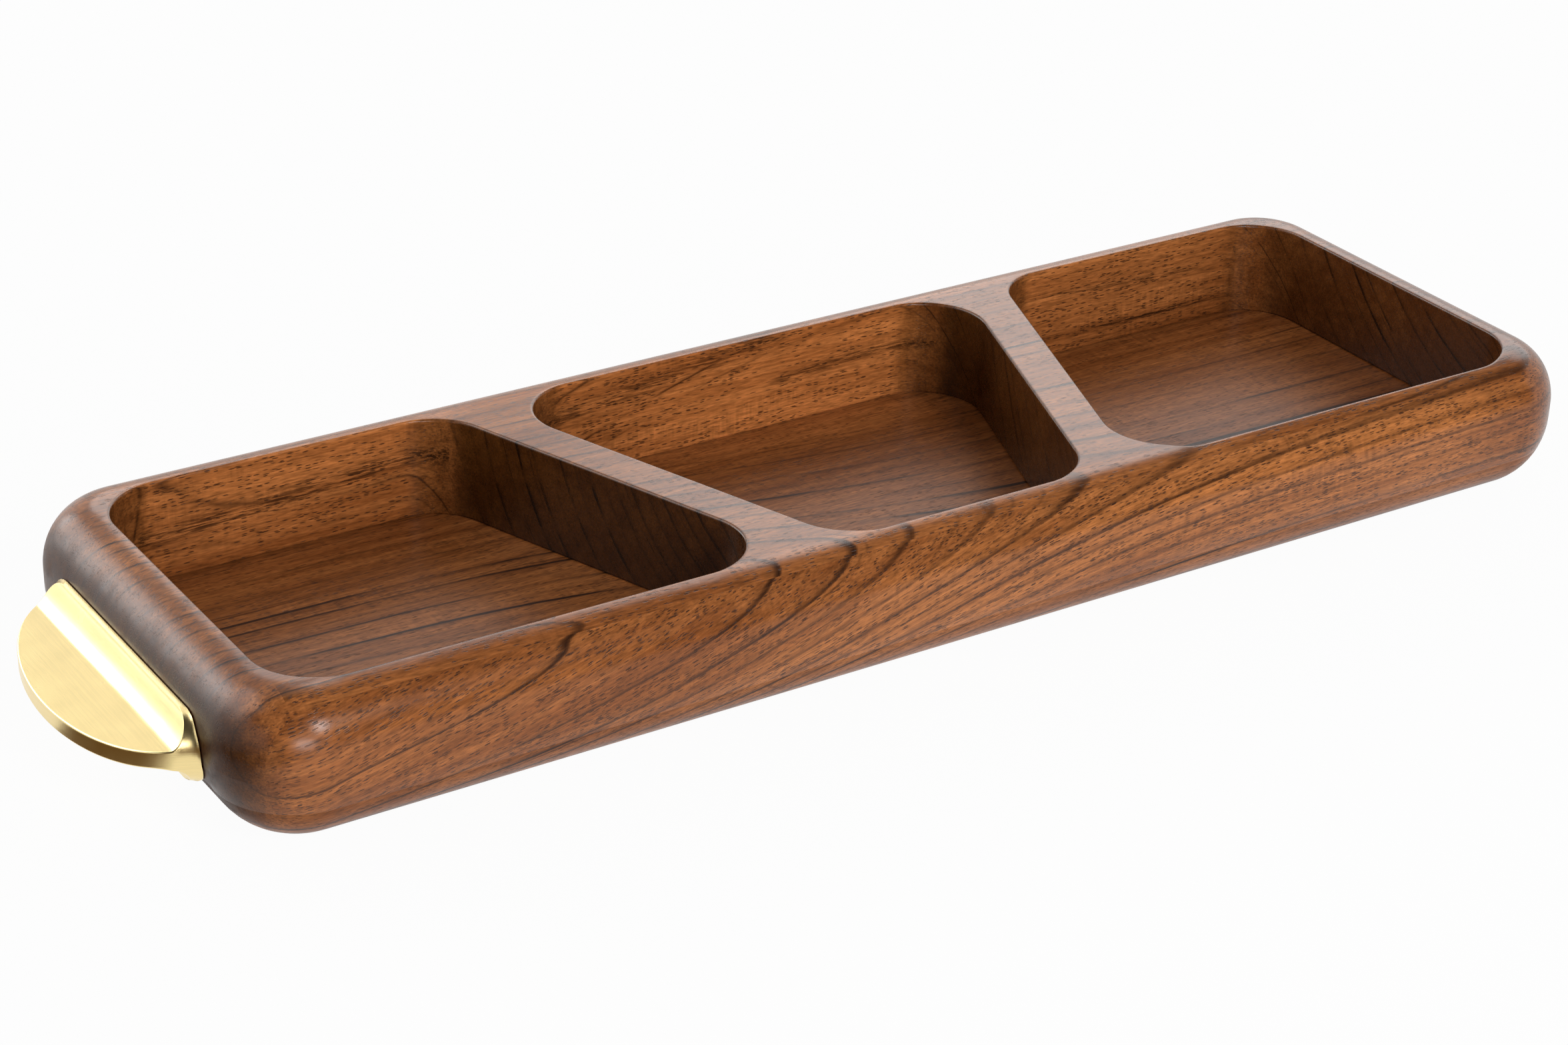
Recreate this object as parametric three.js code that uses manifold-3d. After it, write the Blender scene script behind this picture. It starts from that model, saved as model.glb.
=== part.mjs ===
// Appetizer serving tray: a divided hardwood tray with a cast brass tab handle on each end.
// Millimetres, +Z up. X runs along the tray and -Y is its front side.
// The origin is the middle of the underside, on the table.

import * as THREE from 'three';
import { mergeVertices } from 'three/addons/utils/BufferGeometryUtils.js';
import Module from 'manifold-3d';

// Wooden body, shaped as one pillow-edged block
const BODY_LENGTH = 400;
const BODY_WIDTH = 135;
const BODY_HEIGHT = 40;
const CORNER_RADIUS = 22;
const TOP_ROUND_IN = 13.5;
const TOP_ROUND_DOWN = 15.5;
const FOOT_ROUND_IN = 18.5;
const FOOT_ROUND_UP = 20.5;

// The bottom slice of the block is the base, glued back under the sawn-out frame
const FLOOR_HEIGHT = 12.5;

// Pockets, sawn right through the frame by hand, so the front wall thins a little from left to right
const END_WALL = 14.5;
const BACK_WALL = 14;
const FRONT_WALL_LEFT = 12;
const FRONT_WALL_MIDDLE = 11.4;
const FRONT_WALL_RIGHT = 10;
const POCKET_CORNER_RADIUS = 16.5;

// Slanted dividers between the pockets, mirrored about the middle
const DIVIDER_OFFSET = 63.3;
const DIVIDER_THICKNESS = 12.7;
const DIVIDER_SLANT = THREE.MathUtils.degToRad(19.3);

// Brass handle: a half-moon tab that droops a little from an upright foot with round ends.
// A flat facet slopes from the foot's thin top edge down to the tab, and a cove lies below.
const HANDLE_HEIGHT = 20;
const FOOT_LENGTH = 87;
const FOOT_HEIGHT = 18.4;
const FOOT_EDGE = 1;
const FOOT_DEPTH = 4.4;
const FOOT_SINK = 5;
const TAB_LENGTH = 83;
const TAB_REACH = 21;
const TAB_THICKNESS = 4.3;
const TAB_RAISE = 0.8;
const TAB_DROOP = THREE.MathUtils.degToRad(8.3);
const TAB_TIP_WIDTH = 1;
const FACET_REACH = 4.2;
const COVE_BELOW = 9.5;
const ROUND_FADE = 1.5;

// Steel studs that hold each handle, glued into blind holes
const STUD_DIAMETER = 3;
const STUD_LENGTH = 13;
const STUD_IN_WOOD = 9;
const STUD_SPACING = 50;
const STUD_CHAMFER = 0.5;

// The fittings of one end are made for the right end, and turned about the tray's middle for the left
const END_TURNS = { right: 0, left: Math.PI };

// Room for glue between neighbours, and how finely curves are divided
const GLUE_GAP = 0.3;
const CORNER_STEPS = 10;
const ROUND_STEPS = 9;
const TAB_STEPS = 16;
const FOOT_STEPS = 7;
const RING_END_STEPS = 12;
const STUD_SIDES = 24;
const MERGE_DISTANCE = 1e-4;

const WOOD = { color: 0x7a4a2c, roughness: 0.42, metalness: 0 };
const FLOOR_WOOD = { color: 0x6b3f24, roughness: 0.4, metalness: 0 };
const BRASS = { color: 0xd9b45a, roughness: 0.28, metalness: 1 };
const STEEL = { color: 0xa9abad, roughness: 0.4, metalness: 1 };

const wasm = await Module();
wasm.setup();

function solidOf(geometry) {
  const bare = geometry.clone();
  bare.deleteAttribute('normal');
  bare.deleteAttribute('uv');
  const merged = mergeVertices(bare, MERGE_DISTANCE);
  const triVerts = new Uint32Array(merged.index.array);
  const vertProperties = merged.attributes.position.array;
  return new wasm.Manifold(new wasm.Mesh({ numProp: 3, vertProperties, triVerts }));
}

function geometryOf(solid) {
  const { vertProperties, triVerts } = solid.getMesh();
  const geometry = new THREE.BufferGeometry();
  geometry.setAttribute('position', new THREE.BufferAttribute(vertProperties, 3));
  geometry.setIndex(new THREE.BufferAttribute(triVerts, 1));
  geometry.computeVertexNormals();
  return geometry;
}

// A closed skin over rings that all have the same number of points.
// Seen from the last ring, the points of every ring run counter-clockwise.
function loft(rings) {
  const count = rings[0].length;
  const centres = [rings[0], rings.at(-1)].map((ring) => {
    const sum = ring.reduce((total, point) => total.add(point), new THREE.Vector3());
    return sum.divideScalar(count);
  });
  const points = [...rings.flat(), ...centres];
  const firstCentre = points.length - 2;
  const lastCentre = points.length - 1;
  const lastRing = (rings.length - 1) * count;
  const index = [];
  for (let i = 0; i < count; i += 1) {
    const next = (i + 1) % count;
    for (let r = 0; r < rings.length - 1; r += 1) {
      const low = r * count;
      const high = low + count;
      index.push(low + i, low + next, high + next);
      index.push(low + i, high + next, high + i);
    }
    index.push(next, i, firstCentre);
    index.push(lastRing + i, lastRing + next, lastCentre);
  }
  const geometry = new THREE.BufferGeometry().setFromPoints(points);
  geometry.setIndex(index);
  return geometry;
}

// Corners of a polygon rounded to a radius, as one closed path. The polygon runs counter-clockwise.
function roundedPolygon(corners, radius) {
  const path = new THREE.Shape();
  corners.forEach((corner, i) => {
    const before = corners.at(i - 1).clone().sub(corner).normalize();
    const after = corners[(i + 1) % corners.length].clone().sub(corner).normalize();
    const half = before.angleTo(after) / 2;
    const middle = before.clone().add(after).normalize();
    const centre = corner.clone().addScaledVector(middle, radius / Math.sin(half));
    const start = Math.atan2(-middle.y, -middle.x) - (Math.PI / 2 - half);
    path.absarc(centre.x, centre.y, radius, start, start + Math.PI - 2 * half, false);
  });
  path.closePath();
  return path;
}

// How far the block's outside stands in from its widest outline at a height
function inset(height) {
  const above = Math.max(0, height - (BODY_HEIGHT - TOP_ROUND_DOWN)) / TOP_ROUND_DOWN;
  const below = Math.max(0, FOOT_ROUND_UP - height) / FOOT_ROUND_UP;
  const top = TOP_ROUND_IN * (1 - Math.sqrt(1 - above ** 2));
  const foot = FOOT_ROUND_IN * (1 - Math.sqrt(1 - below ** 2));
  return top + foot;
}

// One level outline of the block, with its rounded corners
function bodyRing(height, growth = 0) {
  const edge = inset(height) - growth;
  const radius = CORNER_RADIUS - edge;
  const x = BODY_LENGTH / 2 - CORNER_RADIUS;
  const y = BODY_WIDTH / 2 - CORNER_RADIUS;
  const ring = [];
  [[x, y], [-x, y], [-x, -y], [x, -y]].forEach(([cx, cy], corner) => {
    for (let i = 0; i <= CORNER_STEPS; i += 1) {
      const turn = (corner + i / CORNER_STEPS) * Math.PI / 2;
      ring.push(new THREE.Vector3(cx + radius * Math.cos(turn), cy + radius * Math.sin(turn), height));
    }
  });
  return ring;
}

// Places along a quarter-ellipse edge, closer together where it turns away
function edgeSteps(from, to, steps) {
  const shares = Array.from({ length: steps + 1 }, (_, i) => Math.sin(i / steps * Math.PI / 2));
  return shares.map((share) => THREE.MathUtils.lerp(from, to, share));
}

const footHeights = edgeSteps(FOOT_ROUND_UP, 0, ROUND_STEPS).reverse();
const topHeights = edgeSteps(BODY_HEIGHT - TOP_ROUND_DOWN, BODY_HEIGHT, ROUND_STEPS);
const blockHeights = [...footHeights, ...topHeights];

function block(heights, growth = 0) {
  return solidOf(loft(heights.map((height) => bodyRing(height, growth))));
}

// Distance of a divider's centre line from the tray's middle at a place across the tray
function dividerX(y) {
  return DIVIDER_OFFSET + y * Math.tan(DIVIDER_SLANT);
}

// A pocket's corners, counter-clockwise, between a left and a right wall given as functions of y
function pocketShape(frontWall, leftWall, rightWall) {
  const front = frontWall - BODY_WIDTH / 2;
  const back = BODY_WIDTH / 2 - BACK_WALL;
  const corners = [
    new THREE.Vector2(leftWall(front), front),
    new THREE.Vector2(rightWall(front), front),
    new THREE.Vector2(rightWall(back), back),
    new THREE.Vector2(leftWall(back), back),
  ];
  return roundedPolygon(corners, POCKET_CORNER_RADIUS);
}

// A pocket as a solid that runs past the frame's underside and past its rim
function pocketSolid(shape) {
  const start = FLOOR_HEIGHT / 2;
  const options = { depth: BODY_HEIGHT, bevelEnabled: false, curveSegments: CORNER_STEPS };
  const geometry = new THREE.ExtrudeGeometry(shape, options);
  return solidOf(geometry.translate(0, 0, start));
}

function pocketSolids() {
  const endX = BODY_LENGTH / 2 - END_WALL;
  const half = DIVIDER_THICKNESS / Math.cos(DIVIDER_SLANT) / 2;
  const shapes = [
    pocketShape(FRONT_WALL_LEFT, () => -endX, (y) => -dividerX(y) - half),
    pocketShape(FRONT_WALL_MIDDLE, (y) => -dividerX(y) + half, (y) => dividerX(y) - half),
    pocketShape(FRONT_WALL_RIGHT, (y) => dividerX(y) + half, () => endX),
  ];
  return shapes.map(pocketSolid);
}

// Where the studs stand on an end, as places across the tray
const studPlaces = [-STUD_SPACING / 2, STUD_SPACING / 2];

// A stud of the right end, a round bar along X with chamfered ends. Grown all round, it is its own hole.
function stud(y, growth = 0) {
  const start = BODY_LENGTH / 2 - STUD_IN_WOOD - growth;
  const end = start + STUD_LENGTH + 2 * growth;
  const radius = STUD_DIAMETER / 2 + growth;
  const profile = [
    new THREE.Vector2(0, start),
    new THREE.Vector2(radius - STUD_CHAMFER, start),
    new THREE.Vector2(radius, start + STUD_CHAMFER),
    new THREE.Vector2(radius, end - STUD_CHAMFER),
    new THREE.Vector2(radius - STUD_CHAMFER, end),
    new THREE.Vector2(0, end),
  ];
  const geometry = new THREE.LatheGeometry(profile, STUD_SIDES);
  return geometry.rotateZ(-Math.PI / 2).translate(0, y, HANDLE_HEIGHT);
}

// Blind holes for the studs of one end
function studHoles(turn) {
  return studPlaces.map((y) => solidOf(stud(y, GLUE_GAP).rotateZ(turn)));
}

function cutAway(solid, cuts) {
  return cuts.reduce((rest, cut) => rest.subtract(cut), solid);
}

function trayFrame() {
  const heights = [FLOOR_HEIGHT, ...blockHeights.filter((height) => height > FLOOR_HEIGHT)];
  const holes = Object.values(END_TURNS).flatMap(studHoles);
  return cutAway(block(heights), [...pocketSolids(), ...holes]);
}

function basePanel() {
  const heights = [...blockHeights.filter((height) => height < FLOOR_HEIGHT), FLOOR_HEIGHT];
  return block(heights);
}

// A concave quarter-ellipse: 1 at the start, falling to 0 at the end with a level finish
function cove(at, start, end) {
  const left = THREE.MathUtils.clamp((end - at) / (end - start), 0, 1);
  return 1 - Math.sqrt(1 - left ** 2);
}

// One upright section of the handle at a distance out from the end of the tray.
// Its ends are round on the foot and square on the tab, and its top and bottom are level.
// Its points run counter-clockwise as seen from the tip of the tab.
function handleRing(out) {
  const facet = THREE.MathUtils.clamp((FACET_REACH - out) / (FACET_REACH - FOOT_EDGE), 0, 1);
  const rootBelow = cove(out, FOOT_EDGE, FOOT_EDGE + COVE_BELOW);
  const flare = cove(out, 0, FOOT_DEPTH);
  const roundEnds = THREE.MathUtils.clamp((FOOT_DEPTH + ROUND_FADE - out) / ROUND_FADE, 0, 1);
  const tip = Math.min(Math.max(out, 0) / TAB_REACH, 1);
  const tabHalf = Math.max(TAB_LENGTH * Math.sqrt(1 - tip ** 2), TAB_TIP_WIDTH) / 2;
  const halfLength = tabHalf + (FOOT_LENGTH - TAB_LENGTH) / 2 * flare;
  const tabLevel = TAB_RAISE - out * Math.tan(TAB_DROOP);
  const top = THREE.MathUtils.lerp(tabLevel + TAB_THICKNESS / 2, FOOT_HEIGHT / 2, facet);
  const bottom = THREE.MathUtils.lerp(tabLevel - TAB_THICKNESS / 2, -FOOT_HEIGHT / 2, rootBelow);
  const front = [];
  const back = [];
  for (let i = 0; i <= RING_END_STEPS; i += 1) {
    const share = (1 + Math.sin((i / RING_END_STEPS - 0.5) * Math.PI)) / 2;
    const up = THREE.MathUtils.lerp(bottom, top, share);
    const rounding = FOOT_HEIGHT / 2 - Math.sqrt((FOOT_HEIGHT / 2) ** 2 - up ** 2);
    const across = halfLength - roundEnds * rounding;
    back.push(new THREE.Vector3(BODY_LENGTH / 2 + out, across, HANDLE_HEIGHT + up));
    front.unshift(new THREE.Vector3(BODY_LENGTH / 2 + out, -across, HANDLE_HEIGHT + up));
  }
  return [...back, ...front];
}

// The handle of the right end. Its back is hollowed to the curve of the wood.
function handle() {
  const footOuts = edgeSteps(FACET_REACH, FOOT_EDGE, FOOT_STEPS).reverse();
  const tabOuts = edgeSteps(0, TAB_REACH, TAB_STEPS).filter((out) => out > FACET_REACH);
  const outs = [-FOOT_SINK, ...footOuts, ...tabOuts];
  const casting = solidOf(loft(outs.map(handleRing)));
  return cutAway(casting, [block(blockHeights, GLUE_GAP), ...studHoles(END_TURNS.right)]);
}

const tray = new THREE.Group();
tray.name = 'appetizer_serving_tray';

function piece(name, geometry, finish) {
  const mesh = new THREE.Mesh(geometry, new THREE.MeshStandardMaterial(finish));
  mesh.name = name;
  return mesh;
}

tray.add(piece('tray_frame', geometryOf(trayFrame()), WOOD));
tray.add(piece('base_panel', geometryOf(basePanel()), FLOOR_WOOD));

for (const [end, turn] of Object.entries(END_TURNS)) {
  const fittings = new THREE.Group();
  fittings.rotation.z = turn;
  fittings.add(piece(`handle_${end}`, geometryOf(handle()), BRASS));
  studPlaces.forEach((y) => {
    const place = y * Math.cos(turn) < 0 ? 'front' : 'back';
    fittings.add(piece(`stud_${end}_${place}`, stud(y), STEEL));
  });
  tray.add(fittings);
}

export default tray;
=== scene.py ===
"""Divided serving tray: a wooden block with three pockets and a brass tab handle at each end."""

import math
from collections import namedtuple

import bmesh
import bpy
from bpy.props import FloatProperty, FloatVectorProperty, IntProperty, PointerProperty
from bpy.types import Operator, Panel, PropertyGroup
from mathutils import Matrix, Vector
from mathutils.geometry import delaunay_2d_cdt


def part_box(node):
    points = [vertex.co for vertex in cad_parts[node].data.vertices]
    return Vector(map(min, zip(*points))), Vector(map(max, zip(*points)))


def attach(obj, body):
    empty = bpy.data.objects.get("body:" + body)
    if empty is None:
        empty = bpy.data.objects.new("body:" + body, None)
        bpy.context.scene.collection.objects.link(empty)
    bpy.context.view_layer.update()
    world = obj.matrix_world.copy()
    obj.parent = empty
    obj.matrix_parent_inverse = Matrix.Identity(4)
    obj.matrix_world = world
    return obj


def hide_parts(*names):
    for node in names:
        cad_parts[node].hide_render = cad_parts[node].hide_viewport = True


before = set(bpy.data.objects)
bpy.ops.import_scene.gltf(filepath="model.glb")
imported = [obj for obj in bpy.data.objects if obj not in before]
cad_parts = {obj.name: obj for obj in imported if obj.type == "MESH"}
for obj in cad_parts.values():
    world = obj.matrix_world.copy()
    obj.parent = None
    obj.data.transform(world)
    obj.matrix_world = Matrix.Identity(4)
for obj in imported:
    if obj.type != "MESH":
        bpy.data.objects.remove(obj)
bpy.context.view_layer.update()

bl_info = {
    "name": "Divided Serving Tray",
    "version": (1, 0, 0),
    "blender": (4, 5, 0),
    "location": "View3D > Sidebar > Serving Tray",
    "description": "Builds a three-pocket wooden serving tray with brass tab handles",
    "category": "Add Mesh",
}

MM = 0.001
BODY = "root"
STUD_NODES = ("stud_left_front", "stud_left_back", "stud_right_front", "stud_right_back")

WOOD_LOW, WOOD_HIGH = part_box("tray_frame")
FLOOR_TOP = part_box("base_panel")[1].z

IMAGE_WIDTH = 2352
SENSOR_WIDTH = 36.0


def distance(name, description, millimetres):
    """A length property whose default is given in millimetres."""
    return FloatProperty(
        name=name,
        description=description,
        default=millimetres * MM,
        min=0.0,
        precision=4,
        subtype="DISTANCE",
        unit="LENGTH",
    )


def angle(name, description, degrees):
    """An angle property whose default is given in degrees."""
    return FloatProperty(
        name=name,
        description=description,
        default=math.radians(degrees),
        subtype="ANGLE",
        unit="ROTATION",
    )


def amount(name, description, default):
    """A plain number property from 0 to 1."""
    return FloatProperty(name=name, description=description, default=default, min=0.0, max=1.0)


def power(name, description, watts):
    """A lamp's power property."""
    return FloatProperty(name=name, description=description, default=watts, min=0.0, unit="POWER")


def linear(channel):
    """Light value, by the sRGB curve, of one colour channel that is written from 0 to 255."""
    share = channel / 255.0
    if share <= 0.04045:
        return share / 12.92
    return ((share + 0.055) / 1.055) ** 2.4


def colour(name, description, red, green, blue):
    """A colour property whose default is written as it looks on a screen, from 0 to 255."""
    return FloatVectorProperty(
        name=name,
        description=description,
        default=(linear(red), linear(green), linear(blue)),
        min=0.0,
        max=1.0,
        size=3,
        subtype="COLOR",
    )


class BodySettings(PropertyGroup):
    """Sizes of the wooden block and its pockets."""

    length: distance("Length", "Length of the block", (WOOD_HIGH.x - WOOD_LOW.x) / MM)
    width: distance("Width", "Width of the block", (WOOD_HIGH.y - WOOD_LOW.y) / MM)
    height: distance("Height", "Height of the block", WOOD_HIGH.z / MM)
    floor_height: distance("Floor height", "Height of the pocket floors", FLOOR_TOP / MM)
    corner_radius: distance("Corner radius", "Radius of the upright corners", 22.0)
    shoulder_in: distance("Shoulder width", "How far the top edge's round goes in", 13.5)
    shoulder_down: distance("Shoulder depth", "How far the top edge's round goes down", 15.5)
    foot_in: distance("Foot round width", "How far the bottom edge's round goes in", 18.5)
    foot_up: distance("Foot round height", "How far the bottom edge's round goes up", 20.5)
    end_wall: distance("End wall", "Thickness of the walls at both ends", 14.5)
    back_wall: distance("Back wall", "Thickness of the back wall", 14.0)
    front_wall_left: distance("Front wall, left", "Thickness in front of the left pocket", 12.0)
    front_wall_middle: distance("Front wall, middle", "Thickness in front of the middle pocket", 11.4)
    front_wall_right: distance("Front wall, right", "Thickness in front of the right pocket", 10.0)
    pocket_radius: distance("Pocket corners", "Radius of the pockets' upright corners", 16.5)
    divider_place: distance("Divider place", "Distance of a divider's middle from the centre", 63.3)
    divider_width: distance("Divider width", "Thickness of a divider", 12.7)
    divider_slant: angle("Divider slant", "Turn of a divider from straight across", 19.3)
    rim_ease: distance("Rim ease", "Radius of the softened edge around a pocket's mouth", 0.7)
    corner_steps: IntProperty(name="Corner steps", description="Facets in each corner", default=20, min=4)
    round_steps: IntProperty(name="Round steps", description="Facets in each edge round", default=16, min=4)
    run_step: distance("Run step", "Longest facet along a straight edge", 5.0)


class HandleSettings(PropertyGroup):
    """Sizes of a brass handle: a round-ended foot on the wood, a facet and a drooping tab."""

    height: distance("Height", "Height of the handle's middle", 20.0)
    foot_length: distance("Foot length", "Length of the foot along the wood", 87.0)
    foot_height: distance("Foot height", "Height of the foot", 18.4)
    foot_edge: distance("Foot edge", "Thickness of the foot's thin upper edge", 1.0)
    foot_depth: distance("Foot depth", "How far out the foot's round ends reach", 4.4)
    round_fade: distance("Round fade", "Length over which the round ends become the tab's rim", 1.5)
    tab_length: distance("Tab length", "Length of the tab along the wood", 83.0)
    tab_reach: distance("Tab reach", "How far the tab stands out", 21.0)
    tab_thickness: distance("Tab thickness", "Thickness of the tab", 4.3)
    tab_raise: distance("Tab raise", "How far the tab's root is above the foot's middle", 0.8)
    tab_droop: angle("Tab droop", "Slope of the tab", 8.3)
    facet_reach: distance("Facet reach", "How far out the sloping facet over the tab ends", 4.2)
    facet_bend: distance("Facet bend", "Half the width of the soft bend between facet and tab", 2.0)
    cove_below: distance("Lower hollow", "Reach of the hollow curve under the tab", 9.5)
    edge_ease: distance("Edge ease", "Radius of the tab's softened edges", 0.4)
    glue_gap: distance("Glue gap", "Gap between the foot and the wood", 0.3)


class StudSettings(PropertyGroup):
    """Sizes of the threaded studs that hold the handles."""

    diameter: distance("Diameter", "Diameter over the thread", 3.0)
    length: distance("Length", "Length of a stud", 13.0)
    in_wood: distance("Length in the wood", "Length of a stud inside the wood", 9.0)
    spacing: distance("Spacing", "Distance between the two studs of a handle", 50.0)
    pitch: distance("Pitch", "Distance between two ridges of the thread", 0.5)
    ridge: distance("Ridge", "Height of the thread's ridges", 0.18)


class FinishSettings(PropertyGroup):
    """Colours of the wood, the brass and the steel."""

    pale_wood: colour("Pale wood", "Colour of the wood between the growth rings", 177, 110, 59)
    deep_wood: colour("Deep wood", "Colour of the darker streaks", 129, 73, 34)
    ring_wood: colour("Ring lines", "Colour of the growth ring lines", 50, 26, 12)
    end_tint: colour("End grain", "Tint that darkens the end grain", 124, 121, 100)
    brass: colour("Brass", "Colour of the handles", 246, 222, 160)
    steel: colour("Steel", "Colour of the studs", 170, 172, 174)


class StageSettings(PropertyGroup):
    """Camera, lights and floor."""

    azimuth: angle("Azimuth", "Turn of the camera about the tray", -33.424)
    elevation: angle("Elevation", "Height angle of the camera", 27.019)
    roll: angle("Roll", "Turn of the camera about its own view", 1.585)
    camera_distance: distance("Camera distance", "Distance of the camera from the tray", 915.496)
    aim_left: distance("Aim left", "How far the picture's middle is moved left of the tray's", 14.382)
    aim_up: distance("Aim up", "How far the picture's middle is moved above the tray's", 8.456)
    focal_pixels: FloatProperty(
        name="Focal length in pixels",
        description="Focal length of the camera in pixels of the whole picture",
        default=5203.6,
        min=1.0,
    )
    key_power: power("Key light", "Power of the soft light in front", 6.2)
    fill_power: power("Fill light", "Power of the broad light low in front", 8.6)
    panel_power: power("Left panel", "Power of the panel behind the tray on the left", 10.8)
    back_power: power("Back panel", "Power of the wide panel behind the tray", 12.5)
    sheen_power: power("Left sheen", "Power of the panel on the left that only reflections show", 14.5)
    rim_power: power("Rim sheen", "Power of the high panel that only reflections show", 9.5)
    top_power: power("Top sheen", "Power of the narrow panel that only reflections show", 2.2)
    glint_power: power("End glint", "Power of the small light that the handle's end reflects", 4.0)
    room_light: amount("Room light", "Strength of the light from all around", 0.28)
    floor_colour: colour("Floor", "Colour of the floor", 232, 232, 232)
    dark_card: colour("Dark card", "Colour of the card in front that only reflections show", 70, 66, 62)
    # This card is a painted shadow: it stands for the tray's shadow on the floor by the left handle, and only
    # reflections show it.
    warm_card: colour("Floor shadow card", "Colour of the card under the left handle, for reflections", 112, 84, 46)


def shrunken(corners, distance_in):
    """Corners of an anticlockwise outline after each of its sides moves in by the same distance."""
    moved = []
    for index, corner in enumerate(corners):
        before = corners[index - 1]
        after = corners[(index + 1) % len(corners)]
        side_in = (corner - before).normalized()
        side_out = (after - corner).normalized()
        normal_in = Vector((-side_in.y, side_in.x))
        normal_out = Vector((-side_out.y, side_out.x))
        stretch = 1.0 + normal_in.dot(normal_out)
        moved.append(corner + (normal_in + normal_out) * (distance_in / stretch))
    return moved


def rounded_loop(centres, radius, corner_steps, run_step):
    """Points of a rounded outline: an arc about each corner centre and straight runs between them."""
    points = []
    count = len(centres)
    for index, centre in enumerate(centres):
        side_in = centre - centres[index - 1]
        side_out = centres[(index + 1) % count] - centre
        start = math.atan2(-side_in.x, side_in.y)
        turn = (math.atan2(-side_out.x, side_out.y) - start) % math.tau
        for step in range(corner_steps + 1):
            bearing = start + turn * step / corner_steps
            points.append(centre + radius * Vector((math.cos(bearing), math.sin(bearing))))
        runs = max(1, math.ceil(side_out.length / run_step))
        last = points[-1]
        for run in range(1, runs):
            points.append(last + side_out * (run / runs))
    return points


def core_distance(point, centres):
    """Distance of a point from an anticlockwise outline's inside, which is 0 for a point inside it."""
    nearest = math.inf
    inside = True
    for index, end in enumerate(centres):
        start = centres[index - 1]
        side = end - start
        offset = point - start
        if side.cross(offset) < 0.0:
            inside = False
        along = min(max(offset.dot(side) / side.length_squared, 0.0), 1.0)
        nearest = min(nearest, (offset - side * along).length)
    if inside:
        return 0.0
    return nearest


class BlockShape:
    """The wooden block's outline, edge rounds and pockets, worked out from its settings."""

    def __init__(self, body):
        self.body = body
        half_length = body.length / 2 - body.corner_radius
        half_width = body.width / 2 - body.corner_radius
        self.centres = [
            Vector((-half_length, -half_width)),
            Vector((half_length, -half_width)),
            Vector((half_length, half_width)),
            Vector((-half_length, half_width)),
        ]
        self.shoulder_start = body.height - body.shoulder_down
        self.pockets = [shrunken(corners, body.pocket_radius) for corners in self.sharp_pockets()]

    def divider_at(self, y):
        """Place along X of the right divider's middle plane at a place along Y."""
        return self.body.divider_place + y * math.tan(self.body.divider_slant)

    def divider_half(self):
        """Half a divider's thickness, measured along X."""
        return self.body.divider_width / math.cos(self.body.divider_slant) / 2

    def inner_side(self, y):
        """Place along X of the right divider's side in the middle pocket, at a place along Y."""
        return self.divider_at(y) - self.divider_half()

    def outer_side(self, y):
        """Place along X of the right divider's side in the right pocket, at a place along Y."""
        return self.divider_at(y) + self.divider_half()

    def sharp_pockets(self):
        """Sharp corners of the left, middle and right pocket, anticlockwise."""
        body = self.body
        end = body.length / 2 - body.end_wall
        back = body.width / 2 - body.back_wall
        pockets = []
        for front_wall, left_at, right_at in (
            (body.front_wall_left, lambda y: -end, lambda y: -self.outer_side(y)),
            (body.front_wall_middle, lambda y: -self.inner_side(y), self.inner_side),
            (body.front_wall_right, self.outer_side, lambda y: end),
        ):
            front = front_wall - body.width / 2
            corners = ((left_at, front), (right_at, front), (right_at, back), (left_at, back))
            pockets.append([Vector((wall_at(y), y)) for wall_at, y in corners])
        return pockets

    def clear_of_pockets(self, point, reach):
        """Whether a point of the plan is farther than a reach from the core of every pocket."""
        return all(core_distance(point, pocket) > reach for pocket in self.pockets)

    def inset_at(self, height):
        """How far the skin lies in from the widest outline at a height."""
        body = self.body
        above = max(0.0, height - self.shoulder_start) / body.shoulder_down
        below = max(0.0, body.foot_up - height) / body.foot_up
        over_shoulder = body.shoulder_in * (1.0 - math.sqrt(max(0.0, 1.0 - above * above)))
        under_foot = body.foot_in * (1.0 - math.sqrt(max(0.0, 1.0 - below * below)))
        return over_shoulder + under_foot

    def top_at(self, point):
        """Height of the block's upper skin over a point of the plan."""
        inset = self.body.corner_radius - core_distance(point, self.centres)
        if inset >= self.body.shoulder_in:
            return self.body.height
        share = 1.0 - inset / self.body.shoulder_in
        return self.shoulder_start + self.body.shoulder_down * math.sqrt(max(0.0, 1.0 - share * share))

    def outline(self, inset):
        """Points of the block's outline, moved in."""
        body = self.body
        return rounded_loop(self.centres, body.corner_radius - inset, body.corner_steps, body.run_step)

    def pocket_loop(self, pocket, growth):
        """Points of a pocket's outline, moved out."""
        body = self.body
        return rounded_loop(pocket, body.pocket_radius + growth, body.corner_steps, body.run_step)

    def foot_heights(self, low, high):
        """Heights of the skin's rows in the foot round, between two heights."""
        heights = []
        for step in range(self.body.round_steps + 1):
            height = self.body.foot_up * (1.0 - math.cos(math.pi / 2 * step / self.body.round_steps))
            if low < height < high:
                heights.append(height)
        return heights


# Fine rows and bands of the block's skin, and the shadow joint at the foot of the pocket walls
SEAM_ROW = 0.06 * MM
RIM_STEPS = 4
RIM_BAND = 0.35 * MM
JOINT_DEPTH = 0.6 * MM
JOINT_HEIGHT = 0.55 * MM
# Share of the shoulder's quarter turn that has rows of its own; bands of loose points lie above it
SHOULDER_SHARE = 0.74
TOP_BANDS = 6
SHARP_ANGLE = math.radians(38.0)
# Delaunay mode that keeps the triangles inside the outlines, and the distance that joins points
KEEP_INSIDE = 1
SAME_POINT = 1e-7


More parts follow.
